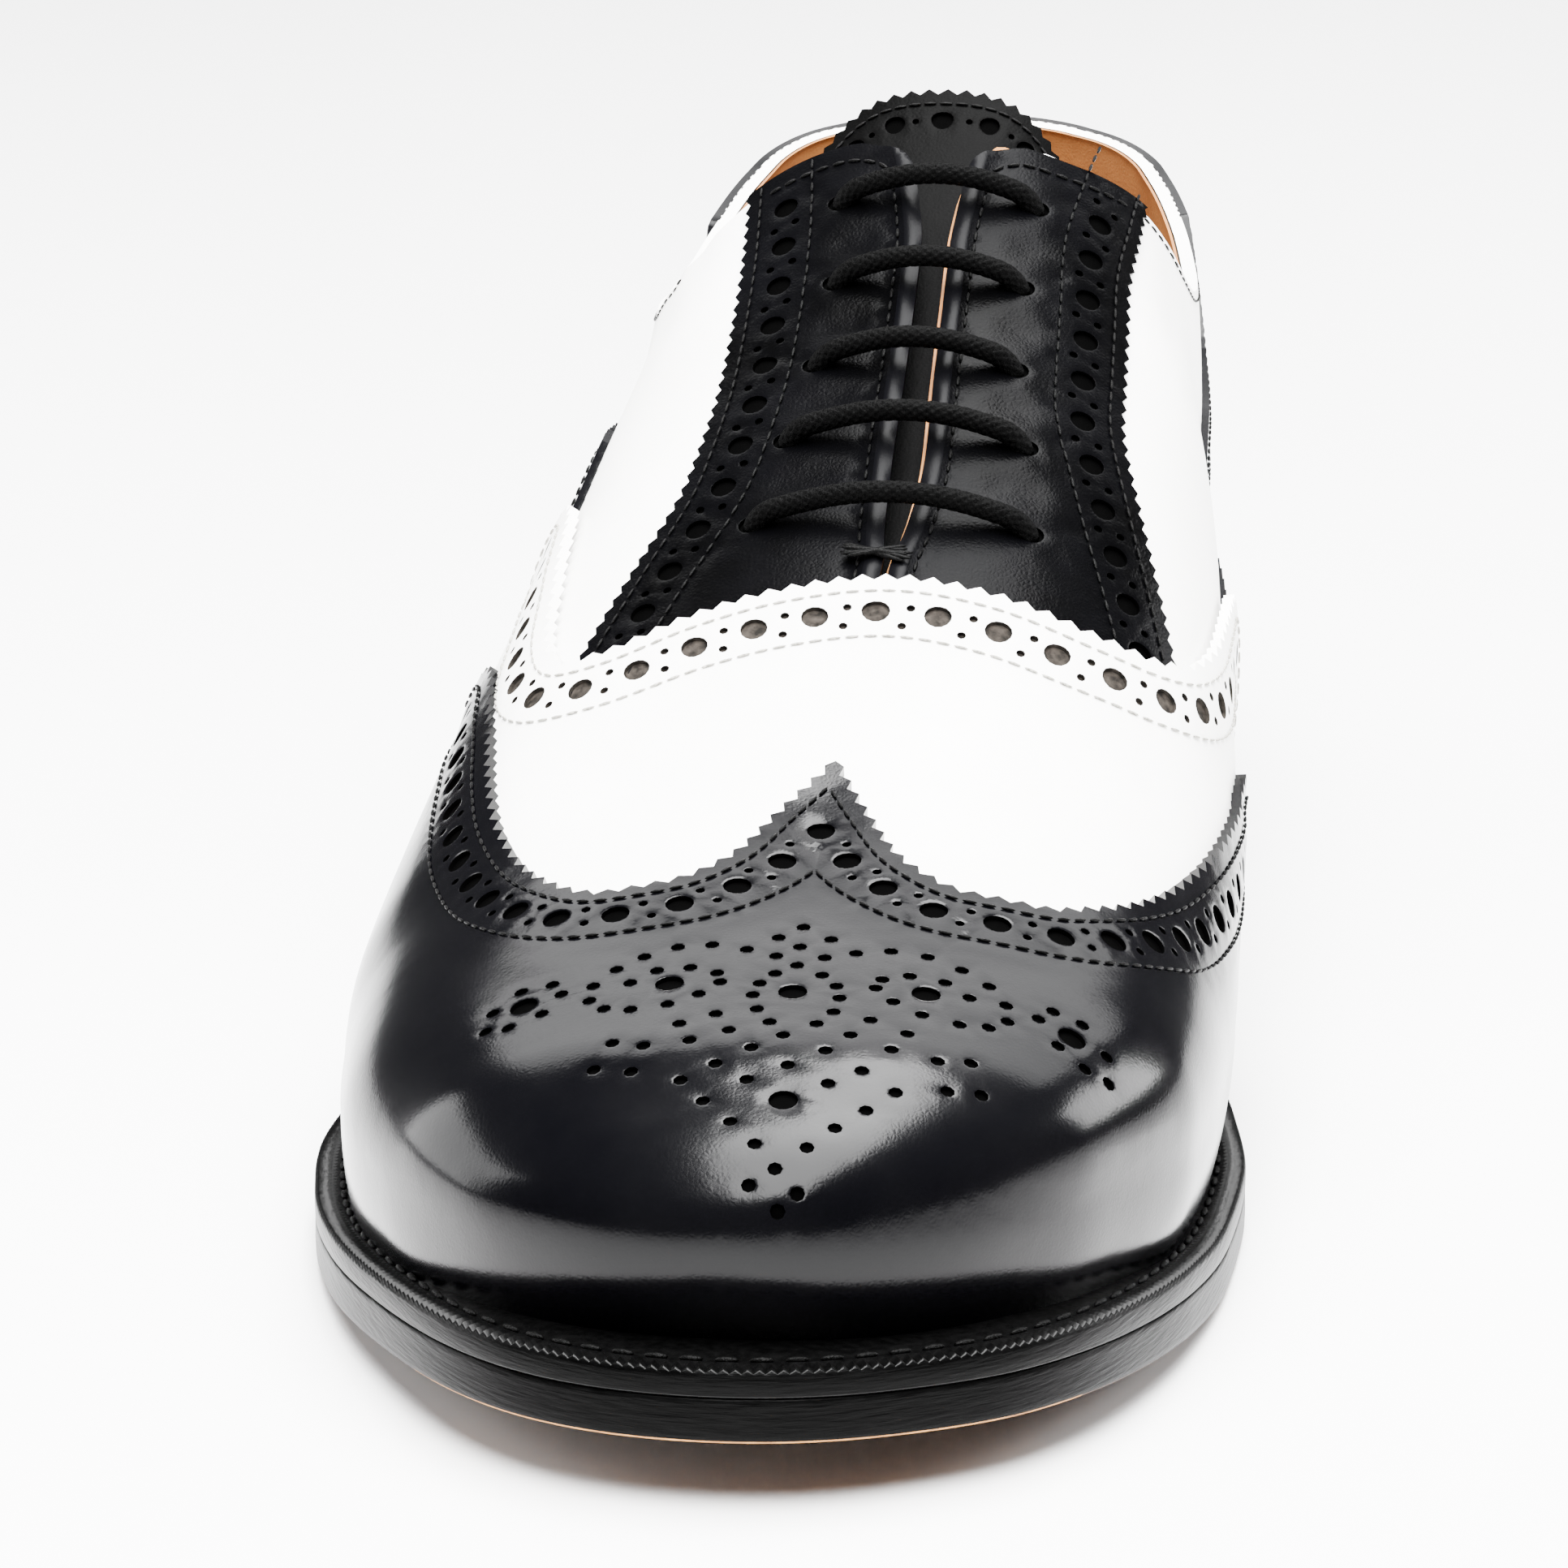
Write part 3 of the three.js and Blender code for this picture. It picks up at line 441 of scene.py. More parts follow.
# Soft folds, given one by one: from share and degrees to share and degrees, depth, half width
FOLDS = [
    # hollows the laces pull between the eyelets
    (0.563, -7.0, 0.565, -16.5, 0.32, 2.6), (0.522, -6.0, 0.524, -15.5, 0.38, 2.6),
    (0.481, -5.5, 0.483, -14.5, 0.42, 2.8), (0.439, -6.0, 0.441, -14.0, 0.40, 2.8),
    (0.561, 9.0, 0.562, 19.0, 0.30, 2.6), (0.521, 8.5, 0.522, 16.5, 0.34, 2.6),
    (0.480, 8.0, 0.481, 16.0, 0.34, 2.8), (0.438, 8.5, 0.438, 16.5, 0.30, 2.8),
    # puckers that run from the eyelets
    (0.578, -19.5, 0.566, -26.0, 0.22, 1.1), (0.585, -19.0, 0.596, -24.5, 0.18, 1.2),
    (0.537, -17.0, 0.525, -22.5, 0.24, 1.1), (0.545, -17.0, 0.556, -22.0, 0.16, 1.2),
    (0.498, -14.5, 0.487, -20.5, 0.26, 1.1), (0.506, -14.8, 0.515, -20.0, 0.16, 1.2),
    (0.455, -13.8, 0.443, -19.5, 0.26, 1.1), (0.463, -13.8, 0.473, -19.0, 0.18, 1.2),
    (0.413, -14.8, 0.402, -20.0, 0.24, 1.1), (0.421, -14.8, 0.430, -19.8, 0.16, 1.2),
    (0.578, 20.0, 0.567, 27.5, 0.20, 1.1), (0.586, 20.0, 0.597, 28.0, 0.18, 1.2),
    (0.537, 17.2, 0.527, 23.0, 0.22, 1.1), (0.545, 17.2, 0.555, 23.5, 0.18, 1.2),
    (0.498, 14.4, 0.487, 19.5, 0.22, 1.1), (0.506, 14.4, 0.515, 20.5, 0.18, 1.2),
    (0.455, 14.0, 0.443, 19.0, 0.22, 1.1), (0.463, 14.0, 0.473, 19.5, 0.16, 1.2),
    (0.413, 15.6, 0.402, 21.0, 0.20, 1.1), (0.421, 15.6, 0.431, 21.5, 0.16, 1.2),
    # the edge of the stay under the eyelets, pressed through beside the slit
    (0.575, -9.2, 0.400, -9.8, 0.07, 0.9), (0.575, 11.2, 0.400, 11.4, 0.08, 0.9),
    # faint folds of the quarters near the top line and at the joint of the foot
    (0.345, -47.0, 0.402, -42.0, 0.30, 2.4), (0.352, -55.0, 0.420, -48.0, 0.25, 2.6),
    (0.360, 52.0, 0.425, 46.0, 0.28, 2.6), (0.372, 61.0, 0.440, 54.0, 0.22, 2.6),
    (0.600, -66.0, 0.560, -78.0, 0.25, 3.0), (0.605, 70.0, 0.570, 82.0, 0.22, 3.0)]


def crease(plane, q):
    """Soft troughs between low ridges, along the folds."""
    p = skin(plane, q)
    height = np.zeros(len(q))
    for share_a, turn_a, share_b, turn_b, depth, width in FOLDS:
        t = np.linspace(0, 1, 14)
        ends = np.stack([share_a + (share_b - share_a) * t, turn_a + (turn_b - turn_a) * t], -1)
        line = skin(TOE, charted(TOE, ends))
        near = np.abs(p - line[7]).sum(1) < 70
        if near.any():
            gap = np.linalg.norm(p[near][:, None] - line[None], axis=-1)
            along, far = t[gap.argmin(1)], gap.min(1) / width
            fade = smooth(np.minimum(along, 1 - along) * 4 + 0.25)
            height[near] -= depth * fade * (1 - 0.6 * far ** 2) * np.exp(-far ** 2 / 1.6)
    return height


def leather(plane, parts, out, holes=(), troughs=(), opening=None, gap=2.6, thick=1.0, roll=0.2):
    """A piece of calf: outline, punched holes and sewn troughs triangulated flat, then lasted."""
    loop = np.vstack([part[:-1] for part in parts])
    points, edges, drop, kind = [], [], [], []

    def lay(line, closed, lower, tag):
        start = len(points)
        points.extend(line)
        drop.extend([lower] * len(line))
        kind.extend([tag] * len(line))
        last = len(line) if closed else len(line) - 1
        edges.extend((start + i, start + (i + 1) % len(line)) for i in range(last))

    lay(loop, True, 0.05, 0)
    if opening is not None:
        lay(opening, True, 0.05, 0)
    for k, (centre, radius) in enumerate(holes):
        count = 14 if radius > 1.2 else 8
        turn = np.arange(count) * 2 * np.pi / count
        dx, dy = spread(plane, centre[None])
        a = dx[0] / np.linalg.norm(dx[0])
        b = np.cross(outward(plane, centre[None])[0], a)
        way = np.cos(turn)[:, None] * a + np.sin(turn)[:, None] * b
        spots = np.repeat(centre[None], count, 0)
        lip = 0.05 if radius > 1.2 else 0.015
        lay(slide(plane, spots, way, np.full(count, radius)), True, 0.04, k + 1)
        lay(slide(plane, spots, way, np.full(count, radius + 0.35)), True, -lip, -1)
    for line, depth in troughs:
        lay(line, False, depth, -1)
    fixed = np.array(points)
    free = lattice(plane, loop, gap)
    far = nearest(skin(plane, free), skin(plane, fixed))
    free = free[far > 0.45 * gap]
    for centre, radius in holes:
        free = free[np.linalg.norm(skin(plane, free) - skin(plane, centre[None]), axis=1) > radius + 0.7]
    flat = np.vstack([fixed, free]) * 100
    cut_flat = geometry.delaunay_2d_cdt([Vector(v) for v in flat], edges, [], 1, 1e-5, True)
    verts, lines, tris, from_vert, from_edge, _ = cut_flat
    at = np.array([tuple(v) for v in verts]) / 100
    tag = np.array([next((kind[i] for i in ids if i < len(kind)), -1) for ids in from_vert])
    down = np.array([next((drop[i] for i in ids if i < len(drop)), 0.0) for ids in from_vert])
    tris = np.array([t for t in tris if len(t) == 3])
    middle = at[tris].mean(1)
    keep = inside(middle, loop)
    if opening is not None:
        keep &= ~inside(middle, opening)
    tris = tris[keep]
    normals = outward(plane, at)
    where = skin(plane, at) + normals * (out(at) - down)[:, None]

    bm = bmesh.new()
    up = bm.verts.layers.float_vector.new("outward")
    used = {}
    for i in np.unique(tris):
        used[i] = bm.verts.new(where[i])
        used[i][up] = normals[i]
    for t in tris:
        corners = [used[i] for i in (t if plane == TOE else t[::-1])]
        face = bm.faces.new(corners)
        face.material_index = 1 if tag[t[0]] > 0 and tag[t[0]] == tag[t[1]] == tag[t[2]] else 0
    fast = {frozenset(e) for e, ids in zip(lines, from_edge) if ids}
    fixed_edges = set()
    for e in fast:
        a, b = tuple(e)
        if a in used and b in used:
            made = bm.edges.get((used[a], used[b]))
            if made:
                fixed_edges.add(made)
    loose = [e for e in bm.edges if e not in fixed_edges and len(e.link_faces) == 2]
    bmesh.ops.beautify_fill(bm, faces=bm.faces[:], edges=loose, use_restrict_tag=False, method="ANGLE")
    rim = [e for e in bm.edges if e.is_boundary]
    for e in rim:
        e.smooth = False
    punched = [f for f in bm.faces if f.material_index == 1]
    for f in punched:
        for e in f.edges:
            if any(g.material_index == 0 for g in e.link_faces):
                e.smooth = False
    if punched:
        made = bmesh.ops.extrude_face_region(bm, geom=punched)["geom"]
        for v in (v for v in made if isinstance(v, bmesh.types.BMVert)):
            v.co -= v[up] * HOLE_DEPTH
        bmesh.ops.delete(bm, geom=punched, context="FACES_ONLY")
        for f in bm.faces:
            if any(v in made for v in f.verts) and f.material_index == 0:
                f.material_index = 1
    sink(bm, rim, up, thick, roll)
    return bm


def sink(bm, rim, up, thick, roll):
    """The cut edge: rolled over a little, then straight down by the leather's thickness."""
    for deep in (0.35 * roll + 0.05, thick):
        made = bmesh.ops.extrude_edge_only(bm, edges=rim)["geom"]
        rim = [g for g in made if isinstance(g, bmesh.types.BMEdge) and g.is_boundary]
        for v in {v for e in rim for v in e.verts}:
            v.co -= v[up] * deep


def placed(name, data):
    """A new object in the scene."""
    made = bpy.data.objects.new(name, data)
    bpy.context.collection.objects.link(made)
    return made


def piece(name, bm, *materials, slot=None, stands_for=(), sharp=None):
    """A finished piece: millimetres to metres, smooth faces, materials, and its place on the shoe."""
    bmesh.ops.scale(bm, vec=(0.001, 0.001, 0.001), verts=bm.verts[:])
    for f in bm.faces:
        f.smooth = True
    if sharp is not None:
        for e in bm.edges:
            if len(e.link_faces) == 2 and e.calc_face_angle(0) > math.radians(sharp):
                e.smooth = False
    mesh = bpy.data.meshes.new(name)
    bm.to_mesh(mesh)
    bm.free()
    made = placed(name, mesh)
    for material in materials:
        mesh.materials.append(material)
    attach(made, "root")
    if stands_for:
        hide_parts(*stands_for)


# Materials
def colour(hexed):
    """sRGB hex to linear."""
    parts = [int(hexed[i:i + 2], 16) / 255 for i in (1, 3, 5)]
    return tuple(c / 12.92 if c <= 0.04045 else ((c + 0.055) / 1.055) ** 2.4 for c in parts) + (1.0,)


def add(tree, kind, feed=None, stops=(), **settings):
    """One node with its settings, its inputs set or linked, and a ramp's two stops."""
    made = tree.nodes.new(kind)
    for key, value in settings.items():
        setattr(made, key, value)
    for socket, source in (feed or {}).items():
        if isinstance(source, bpy.types.NodeSocket):
            tree.links.new(source, made.inputs[socket])
        else:
            made.inputs[socket].default_value = source
    for k, (position, value) in enumerate(stops):
        made.color_ramp.elements[k].position = position
        made.color_ramp.elements[k].color = value
    return made


def finish(name):
    """Empty material with its output and a shader to fill in."""
    material = bpy.data.materials.new(name)
    material.use_nodes = True
    tree = material.node_tree
    tree.nodes.clear()
    place = add(tree, "ShaderNodeTexCoord").outputs["Object"]
    shader = add(tree, "ShaderNodeBsdfPrincipled")
    add(tree, "ShaderNodeOutputMaterial", {"Surface": shader.outputs[0]})
    return material, tree, place, shader


def calf(name, dark, light, rough, level, grain, wax):
    """Smooth box calf: a tight grain of about half a millimetre, a hand-rubbed finish that varies in
    gloss over a few centimetres, and fine wrinkles."""
    material, tree, place, shader = finish(name)
    patches = add(tree, "ShaderNodeTexNoise",
                  {"Vector": place, "Scale": 45.0, "Detail": 4.0, "Roughness": 0.6})
    pores = add(tree, "ShaderNodeTexVoronoi", {"Vector": place, "Scale": 1700.0},
                feature="DISTANCE_TO_EDGE")
    cloud = add(tree, "ShaderNodeTexNoise", {"Vector": place, "Scale": 380.0, "Detail": 3.0})
    tint = add(tree, "ShaderNodeValToRGB", {"Fac": patches.outputs["Fac"]},
               stops=[(0.3, colour(dark)), (0.75, colour(light))])
    tree.links.new(tint.outputs["Color"], shader.inputs["Base Color"])
    low = add(tree, "ShaderNodeMapRange", {"Value": patches.outputs["Fac"], "From Min": 0.3, "From Max": 0.7,
                                           "To Min": rough - wax, "To Max": rough + wax})
    tree.links.new(low.outputs[0], shader.inputs["Roughness"])
    skin_bump = add(tree, "ShaderNodeBump", {"Height": pores.outputs["Distance"], "Strength": grain,
                                             "Distance": 0.00012})
    soft_bump = add(tree, "ShaderNodeBump", {"Height": cloud.outputs["Fac"], "Strength": grain * 0.6,
                                             "Distance": 0.0003, "Normal": skin_bump.outputs[0]})
    tree.links.new(soft_bump.outputs[0], shader.inputs["Normal"])
    shader.inputs["Specular IOR Level"].default_value = level
    return material


# Box calf dyed black and polished with wax: nearly black, clear reflections with soft edges
BLACK_CALF = calf("black_box_calf", "#020203", "#040405", 0.17, 0.09, 0.10, 0.03)
# The same calf pulled over the facings, worked with less wax, so its reflections are wide and weak
FACING_CALF = calf("black_box_calf_facings", "#010101", "#030304", 0.28, 0.016, 0.30, 0.05)
# Down in the slit the tongue's calf is dull
TONGUE_CALF = calf("black_box_calf_tongue", "#010101", "#030303", 0.45, 0.012, 0.30, 0.05)
# White calf with a pigment finish: bright, even, a faint grain and a satin gloss
WHITE_CALF = calf("white_finished_calf", "#f1f0ed", "#fbfaf8", 0.38, 0.20, 0.18, 0.04)
# Binding of glazed calf, folded over the slit's edge: glossier than the facings
GLAZED = calf("black_glazed_calf", "#020203", "#040405", 0.30, 0.028, 0.10, 0.03)
# Raw vegetable-tanned lining: dry, tan, darker in its pores
LINING = calf("tan_lining_leather", "#6f4526", "#96683a", 0.6, 0.1, 0.5, 0.05)


def dull(name, dark, light, rough, level, size, bump, stretch=(1, 1, 1)):
    """A matt surface with a speckle of the given size in millimetres, drawn out where it is stretched."""
    material, tree, place, shader = finish(name)
    drawn_out = add(tree, "ShaderNodeMapping", {"Vector": place, "Scale": stretch}).outputs[0]
    speck = add(tree, "ShaderNodeTexNoise", {"Vector": drawn_out, "Scale": 1000 / size, "Detail": 5.0})
    tint = add(tree, "ShaderNodeValToRGB", {"Fac": speck.outputs["Fac"]},
               stops=[(0.35, colour(dark)), (0.7, colour(light))])
    tree.links.new(tint.outputs["Color"], shader.inputs["Base Color"])
    relief = add(tree, "ShaderNodeBump",
                 {"Height": speck.outputs["Fac"], "Strength": bump, "Distance": 0.0002})
    tree.links.new(relief.outputs[0], shader.inputs["Normal"])
    shader.inputs["Roughness"].default_value = rough
    shader.inputs["Specular IOR Level"].default_value = level
    return material


# Inside a punched hole: the raw flesh side in shadow
HOLE_BLACK = dull("punched_hole_in_black", "#010101", "#010101", 0.8, 0.005, 0.8, 0.4)
HOLE_WHITE = dull("punched_hole_in_white", "#100f0d", "#2e2a26", 0.85, 0.05, 1.1, 0.8)
# Linen thread, waxed: twisted strands of about 0.3 mm
THREAD_BLACK = dull("black_waxed_linen_thread", "#020202", "#050505", 0.45, 0.05, 0.3, 0.8)
THREAD_WHITE = dull("white_waxed_linen_thread", "#75736c", "#b5b3ab", 0.6, 0.1, 0.3, 0.6)
# Braided cotton lace with a little wax: matt black with lighter crowns on the strands
LACE_COTTON = dull("black_braided_cotton", "#010101", "#040404", 0.45, 0.02, 0.25, 0.9)
# Edge of the sole, dyed black and ironed with wax: satin, with fine scratches along it
EDGE = dull("black_waxed_edge", "#010101", "#040404", 0.34, 0.02, 4.0, 0.6, (1, 1, 10))
# Top of the welt, dyed black, where the wheel's ridges catch the light
WELT_TOP = dull("black_welt_leather", "#010101", "#040404", 0.32, 0.09, 1.2, 0.4)
# Oak-bark tanned underside, its brown darkened as painted shade for the shadow it lies in, and the raw arris
# the edge dye has left at the toe
SOLE_PAINTED_SHADE = dull("oak_bark_sole_leather_painted_shade", "#22130a", "#3a2313", 0.5, 0.1, 2.0, 0.3)
ARRIS = dull("raw_sole_leather_arris", "#7a5028", "#a9783f", 0.6, 0.2, 1.5, 0.5)
# Moulded rubber: even and matt
RUBBER = dull("black_heel_rubber", "#040405", "#080809", 0.75, 0.1, 0.8, 0.3)


# Threads
def spindle(bm, at, axes, size, around=6, rings=4):
    """One stitch: a small round body, longest along the first of its three axes."""
    turn = Matrix(axes).transposed().to_4x4()
    grow = Matrix.Diagonal((*size, 1))
    lie = Matrix.Translation(Vector(at)) @ turn @ grow @ Matrix.Rotation(math.pi / 2, 4, "Y")
    bmesh.ops.create_uvsphere(bm, u_segments=around, v_segments=rings, radius=1, matrix=lie)


def sew(bm, plane, line, out, pitch=2.1, long=1.75, thick=0.42, proud=0.06):
    """A row of stitches lying in their trough."""
    q = even(plane, line, pitch)
    middle = (q[:-1] + q[1:]) / 2
    p = lasted(plane, middle, out(middle) + proud)
    ends = skin(plane, q)
    n = outward(plane, middle)
    for centre, a, b, up in zip(p, ends[:-1], ends[1:], n):
        x = Vector(b - a).normalized()
        y = Vector(up).cross(x).normalized()
        spindle(bm, centre, (x, y, x.cross(y)), (long / 2, thick / 2, thick / 2))


def brogue(plane, line, inward, pitch=7.1, first=None, inset=5.6):
    """Punching along an edge: a large hole each pitch, a pair of small ones between. Spread evenly
    between the ends, or counted from the first hole's distance."""
    holes = []
    middle = beside(plane, line, inward * inset) if inset else line
    run = run_of(skin(plane, middle))

    def spot(u):
        return at_run(middle, run, u)

    count = int((run[-1] - 7) // pitch)
    start = (run[-1] - count * pitch) / 2 if first is None else first
    for k in range(count + 1):
        u = start + k * pitch
        holes.append((spot(u), BIG_HOLE))
        if k == count:
            break
        holes += [(q, SMALL_HOLE) for q in beads(plane, spot(u), spot(u + pitch), inward)]
    return holes


def beads(plane, a, b, inward):
    """The two small holes between a pair of large ones, one towards each row of stitches."""
    ends = np.stack([a, b])
    way = leftward(plane, ends)[:1]
    along = np.diff(skin(plane, ends), axis=0)
    along /= np.linalg.norm(along)
    middle = slide(plane, ends.mean(0)[None], along, np.array([0.35]))
    other = slide(plane, ends.mean(0)[None], along, np.array([-0.35]))
    return [slide(plane, middle, way, np.array([-1.4 * inward]))[0],
            slide(plane, other, way, np.array([1.4 * inward]))[0]]


# Pattern lines
def collar_line(plane, side, front=0.386):
    """The top line of one side, from the middle of the back to the lace slit."""
    seat = feather(SOLE_HEEL)
    t = np.linspace(0, 1, 420)
    line = collar_outer if side < 0 else collar_inner
    low, high = 0.004, 0.06
    for _ in range(50):
        mid = (low + high) / 2
        z = on_last(round_share(mid), np.array(0.0))[2]
        low, high = (mid, high) if z < seat + BACK * line(mid) else (low, mid)
    share = low + (front - low) * t ** 2
    theta = round_share(share)
    a, b = np.zeros(len(t)), np.full(len(t), np.pi / 2)
    for _ in range(50):
        mid = (a + b) / 2
        z = on_last(theta, side * mid)[:, 2]
        above = z > seat + BACK * line(share)
        a, b = np.where(above, mid, a), np.where(above, b, mid)
    q = chart(plane, share, side * (a + b) / 2)
    across = chart(plane, np.full(60, front), side * np.linspace(a[-1], -0.02, 61)[1:])
    q = even(plane, np.vstack([q, across]), FINE_STEP)
    for _ in range(12):
        q[1:-1] = (q[:-2] + q[1:-1] + q[2:]) / 3
    return q


def slit_line(plane, side, start=0.372, end=0.66, extra=0.0):
    """One edge of the lace slit, from the top down to the vamp."""
    share = np.linspace(start, end, 300)
    theta = round_share(share)
    half = np.where(share < 0.604, slit_half(share), np.maximum(0.12, 0.5 - 6 * (share - 0.604))) + extra
    target = sections[2](theta) * UPPER_BALL + side * half + SHIFT
    a, b = np.full(len(share), -0.9), np.full(len(share), 0.9)
    for _ in range(50):
        mid = (a + b) / 2
        x = on_last(theta, mid)[:, 0]
        a, b = np.where(x < target, mid, a), np.where(x < target, b, mid)
    return even(plane, chart(plane, share, (a + b) / 2), FINE_STEP)


def round_corner(line_a, line_b, plane, radius):
    """Two lines joined by a soft corner."""
    i, j, _ = crossing(line_a, line_b)
    a, b = line_a[:i + 1], line_b[j + 1:]
    run_a = np.linalg.norm(skin(plane, a) - skin(plane, a[-1:]), axis=1)
    run_b = np.linalg.norm(skin(plane, b) - skin(plane, b[:1]), axis=1)
    a, b = a[run_a > radius], b[run_b > radius]
    corner = line_a[i]
    t = np.linspace(0, 1, 9)[1:-1, None]
    bend = (1 - t) ** 2 * a[-1] + 2 * t * (1 - t) * corner + t ** 2 * b[0]
    return np.vstack([a, bend, b])


# Wingtip
thread = bmesh.new()
wing_outer, wing_inner = drawn(TOE, WING_OUTER), drawn(TOE, WING_INNER)
lower_outer, lower_inner = lower_edge(TOE, -1, 0.44, 1.0), lower_edge(TOE, 1, 0.44, 1.0)


def mirrored(rows):
    return np.array([(share, side) for share, *sides in rows for side in sides if side is not None], float)


def from_to(plane, line, first, last):
    """The stretch of a line between two shares."""
    s = share_of(plane, line)
    return line[(s >= min(first, last)) & (s <= max(first, last))]


def centred(line, side):
    """Rows beside the wing's edge, stopped at the ridge so that they meet in a peak."""
    return line[line[:, 0] * side >= 0]


def toe_wall(plane, q):
    """Round the toe the leather is drawn thin over the shoulder and tucks in towards the welt."""
    p = skin(plane, q)
    high = p[:, 2] - feather(p[:, 1])
    front = smooth((-p[:, 1] - 117) / 15)
    return -front * (0.6 * (1 - smooth(high / 12)) + 1.5 * smooth((high - 10) / 9))


wing_level = level(TOE, 1.4, np.vstack([wing_outer, wing_inner]), 0.9, also=toe_wall)
wing_top = joined([wing_outer, wing_inner, lower_inner, lower_outer[::-1]])
wing_parts = [gimped(TOE, wing_top[0]), gimped(TOE, wing_top[1]), even(TOE, wing_top[2], 1.6),
              even(TOE, wing_top[3], 1.6)]
wing_holes, wing_troughs = [], []
peak = chart(TOE, 0.7625, 0.0)
for line, side in ((wing_outer[::-1], -1), (wing_inner, 1)):
    visible = from_to(TOE, line, 0.545, 1.0)
    inward = -side
    middle = centred(beside(TOE, visible, inward * 5.6), side)
    away = nearest(skin(TOE, middle), skin(TOE, peak[None]))
    middle = middle[away > 7.0]
    wing_holes += brogue(TOE, middle, inward, first=0.0, inset=0.0)
    wing_holes += [(q, SMALL_HOLE) for q in beads(TOE, peak, middle[0], inward)]
    for amount in (2.2, 9.6):
        row = centred(beside(TOE, visible, inward * amount), side)
        wing_troughs.append((row[::2], 0.12))
        sew(thread, TOE, row, wing_level)
wing_holes.append((peak, BIG_HOLE))
small = mirrored(MEDALLION_SMALL)
large = mirrored(MEDALLION_LARGE)
wing_holes += [(q, MEDALLION_HOLE) for q in charted(TOE, small)]
wing_holes += [(q, BIG_HOLE) for q in charted(TOE, large)]
bm = leather(TOE, wing_parts, wing_level, wing_holes, wing_troughs, gap=2.0, thick=1.3)
piece("wingtip_calf", bm, BLACK_CALF, HOLE_BLACK, slot="black_calf", stands_for=("wingtip",))

# Vamp
thread_white = bmesh.new()
vamp_line = drawn(TOE, VAMP)
vamp_level = level(TOE, 0.95, vamp_line, 1.15, over=14)
under_wing_inner = beside(TOE, wing_inner, -7.0)
under_wing_outer = beside(TOE, wing_outer, -7.0)
under_wing = np.vstack([centred(under_wing_inner, 1)[::-1], centred(under_wing_outer, -1)[::-1]])
vamp_parts = joined([vamp_line, lower_inner, under_wing, lower_outer[::-1]])
vamp_parts = [gimped(TOE, vamp_parts[0])] + [even(TOE, part, 1.6) for part in vamp_parts[1:]]
visible = vamp_line[8:-8]
vamp_holes = brogue(TOE, visible, -1)
vamp_troughs = []
for amount in (2.3, 9.4):
    row = beside(TOE, visible, -amount)
    vamp_troughs.append((row[::2], 0.10))
    sew(thread_white, TOE, row, vamp_level, thick=0.34)
bm = leather(TOE, vamp_parts, vamp_level, vamp_holes, vamp_troughs, gap=2.6, thick=1.2)
piece("vamp_calf", bm, WHITE_CALF, HOLE_WHITE, slot="white_calf", stands_for=("vamp",))

# Facings
for side, rows, node in ((-1, FACING_OUTER, "facing_lateral"), (1, FACING_INNER, "facing_medial")):
    outer = drawn(TOE, rows)
    collar = collar_line(TOE, side)
    slit = slit_line(TOE, side)
    hidden = beside(TOE, vamp_line, -6.0)
    hidden = hidden if side > 0 else hidden[::-1]
    slit_edge = skin(TOE, slit)

    def bead(plane, q, slit_edge=slit_edge):
        d = nearest(skin(plane, q), slit_edge)
        strip = 0.45 * np.sqrt(np.clip(1 - ((d - 1.35) / 1.35) ** 2, 0, 1))
        return strip * smooth((0.630 - share_of(plane, q)) / 0.01)

    facing_level = level(TOE, 1.05, also=bead)
    top = round_corner(collar, slit, TOE, 5.0)
    parts = joined([outer[::-1], top, hidden])
    edge_line, top_line = even(TOE, parts[0][::-1], FINE_STEP), parts[1]
    parts = [gimped(TOE, parts[0], 0.7, 2.3)] + [even(TOE, part, 1.3) for part in parts[1:]]
    inward = 1 if side < 0 else -1
    holes = brogue(TOE, edge_line, inward)
    troughs = []
    for amount in (2.0, 9.0):
        row = beside(TOE, edge_line, inward * amount)
        troughs.append((row[::2], 0.12))
        sew(thread, TOE, row, facing_level)
    # One row of stitches follows the top line and turns down beside the slit
    row = beside(TOE, top_line, side * 2.9)
    row = row[nearest(skin(TOE, row), skin(TOE, edge_line)) > 2.6]
    row = from_to(TOE, row, 0.340, 0.618)
    troughs.append((row[::2], 0.10))
    sew(thread, TOE, row, facing_level, thick=0.5)
    slit_seen = from_to(TOE, slit, 0.392, 0.618)
    for amount in (0.7, 1.4, 2.1):
        troughs.append((beside(TOE, slit_seen, side * amount)[::2], 0.0))
    lace_holes = []
    for name, share, a, b in LACE_ROWS:
        turn = a if side < 0 else b
        lace_holes.append((charted(TOE, [(share, turn)])[0], EYELET))
    bm = leather(TOE, parts, facing_level, holes + lace_holes, troughs, gap=1.7, thick=1.0)
    slit_far = nearest(np.array([f.calc_center_median()[:] for f in bm.faces]), slit_edge)
    for f, d in zip(bm.faces, slit_far):
        if f.material_index == 0 and d < 2.45:
            f.material_index = 2
    piece(node + "_calf", bm, FACING_CALF, HOLE_BLACK, GLAZED, slot="black_calf", stands_for=(node,))

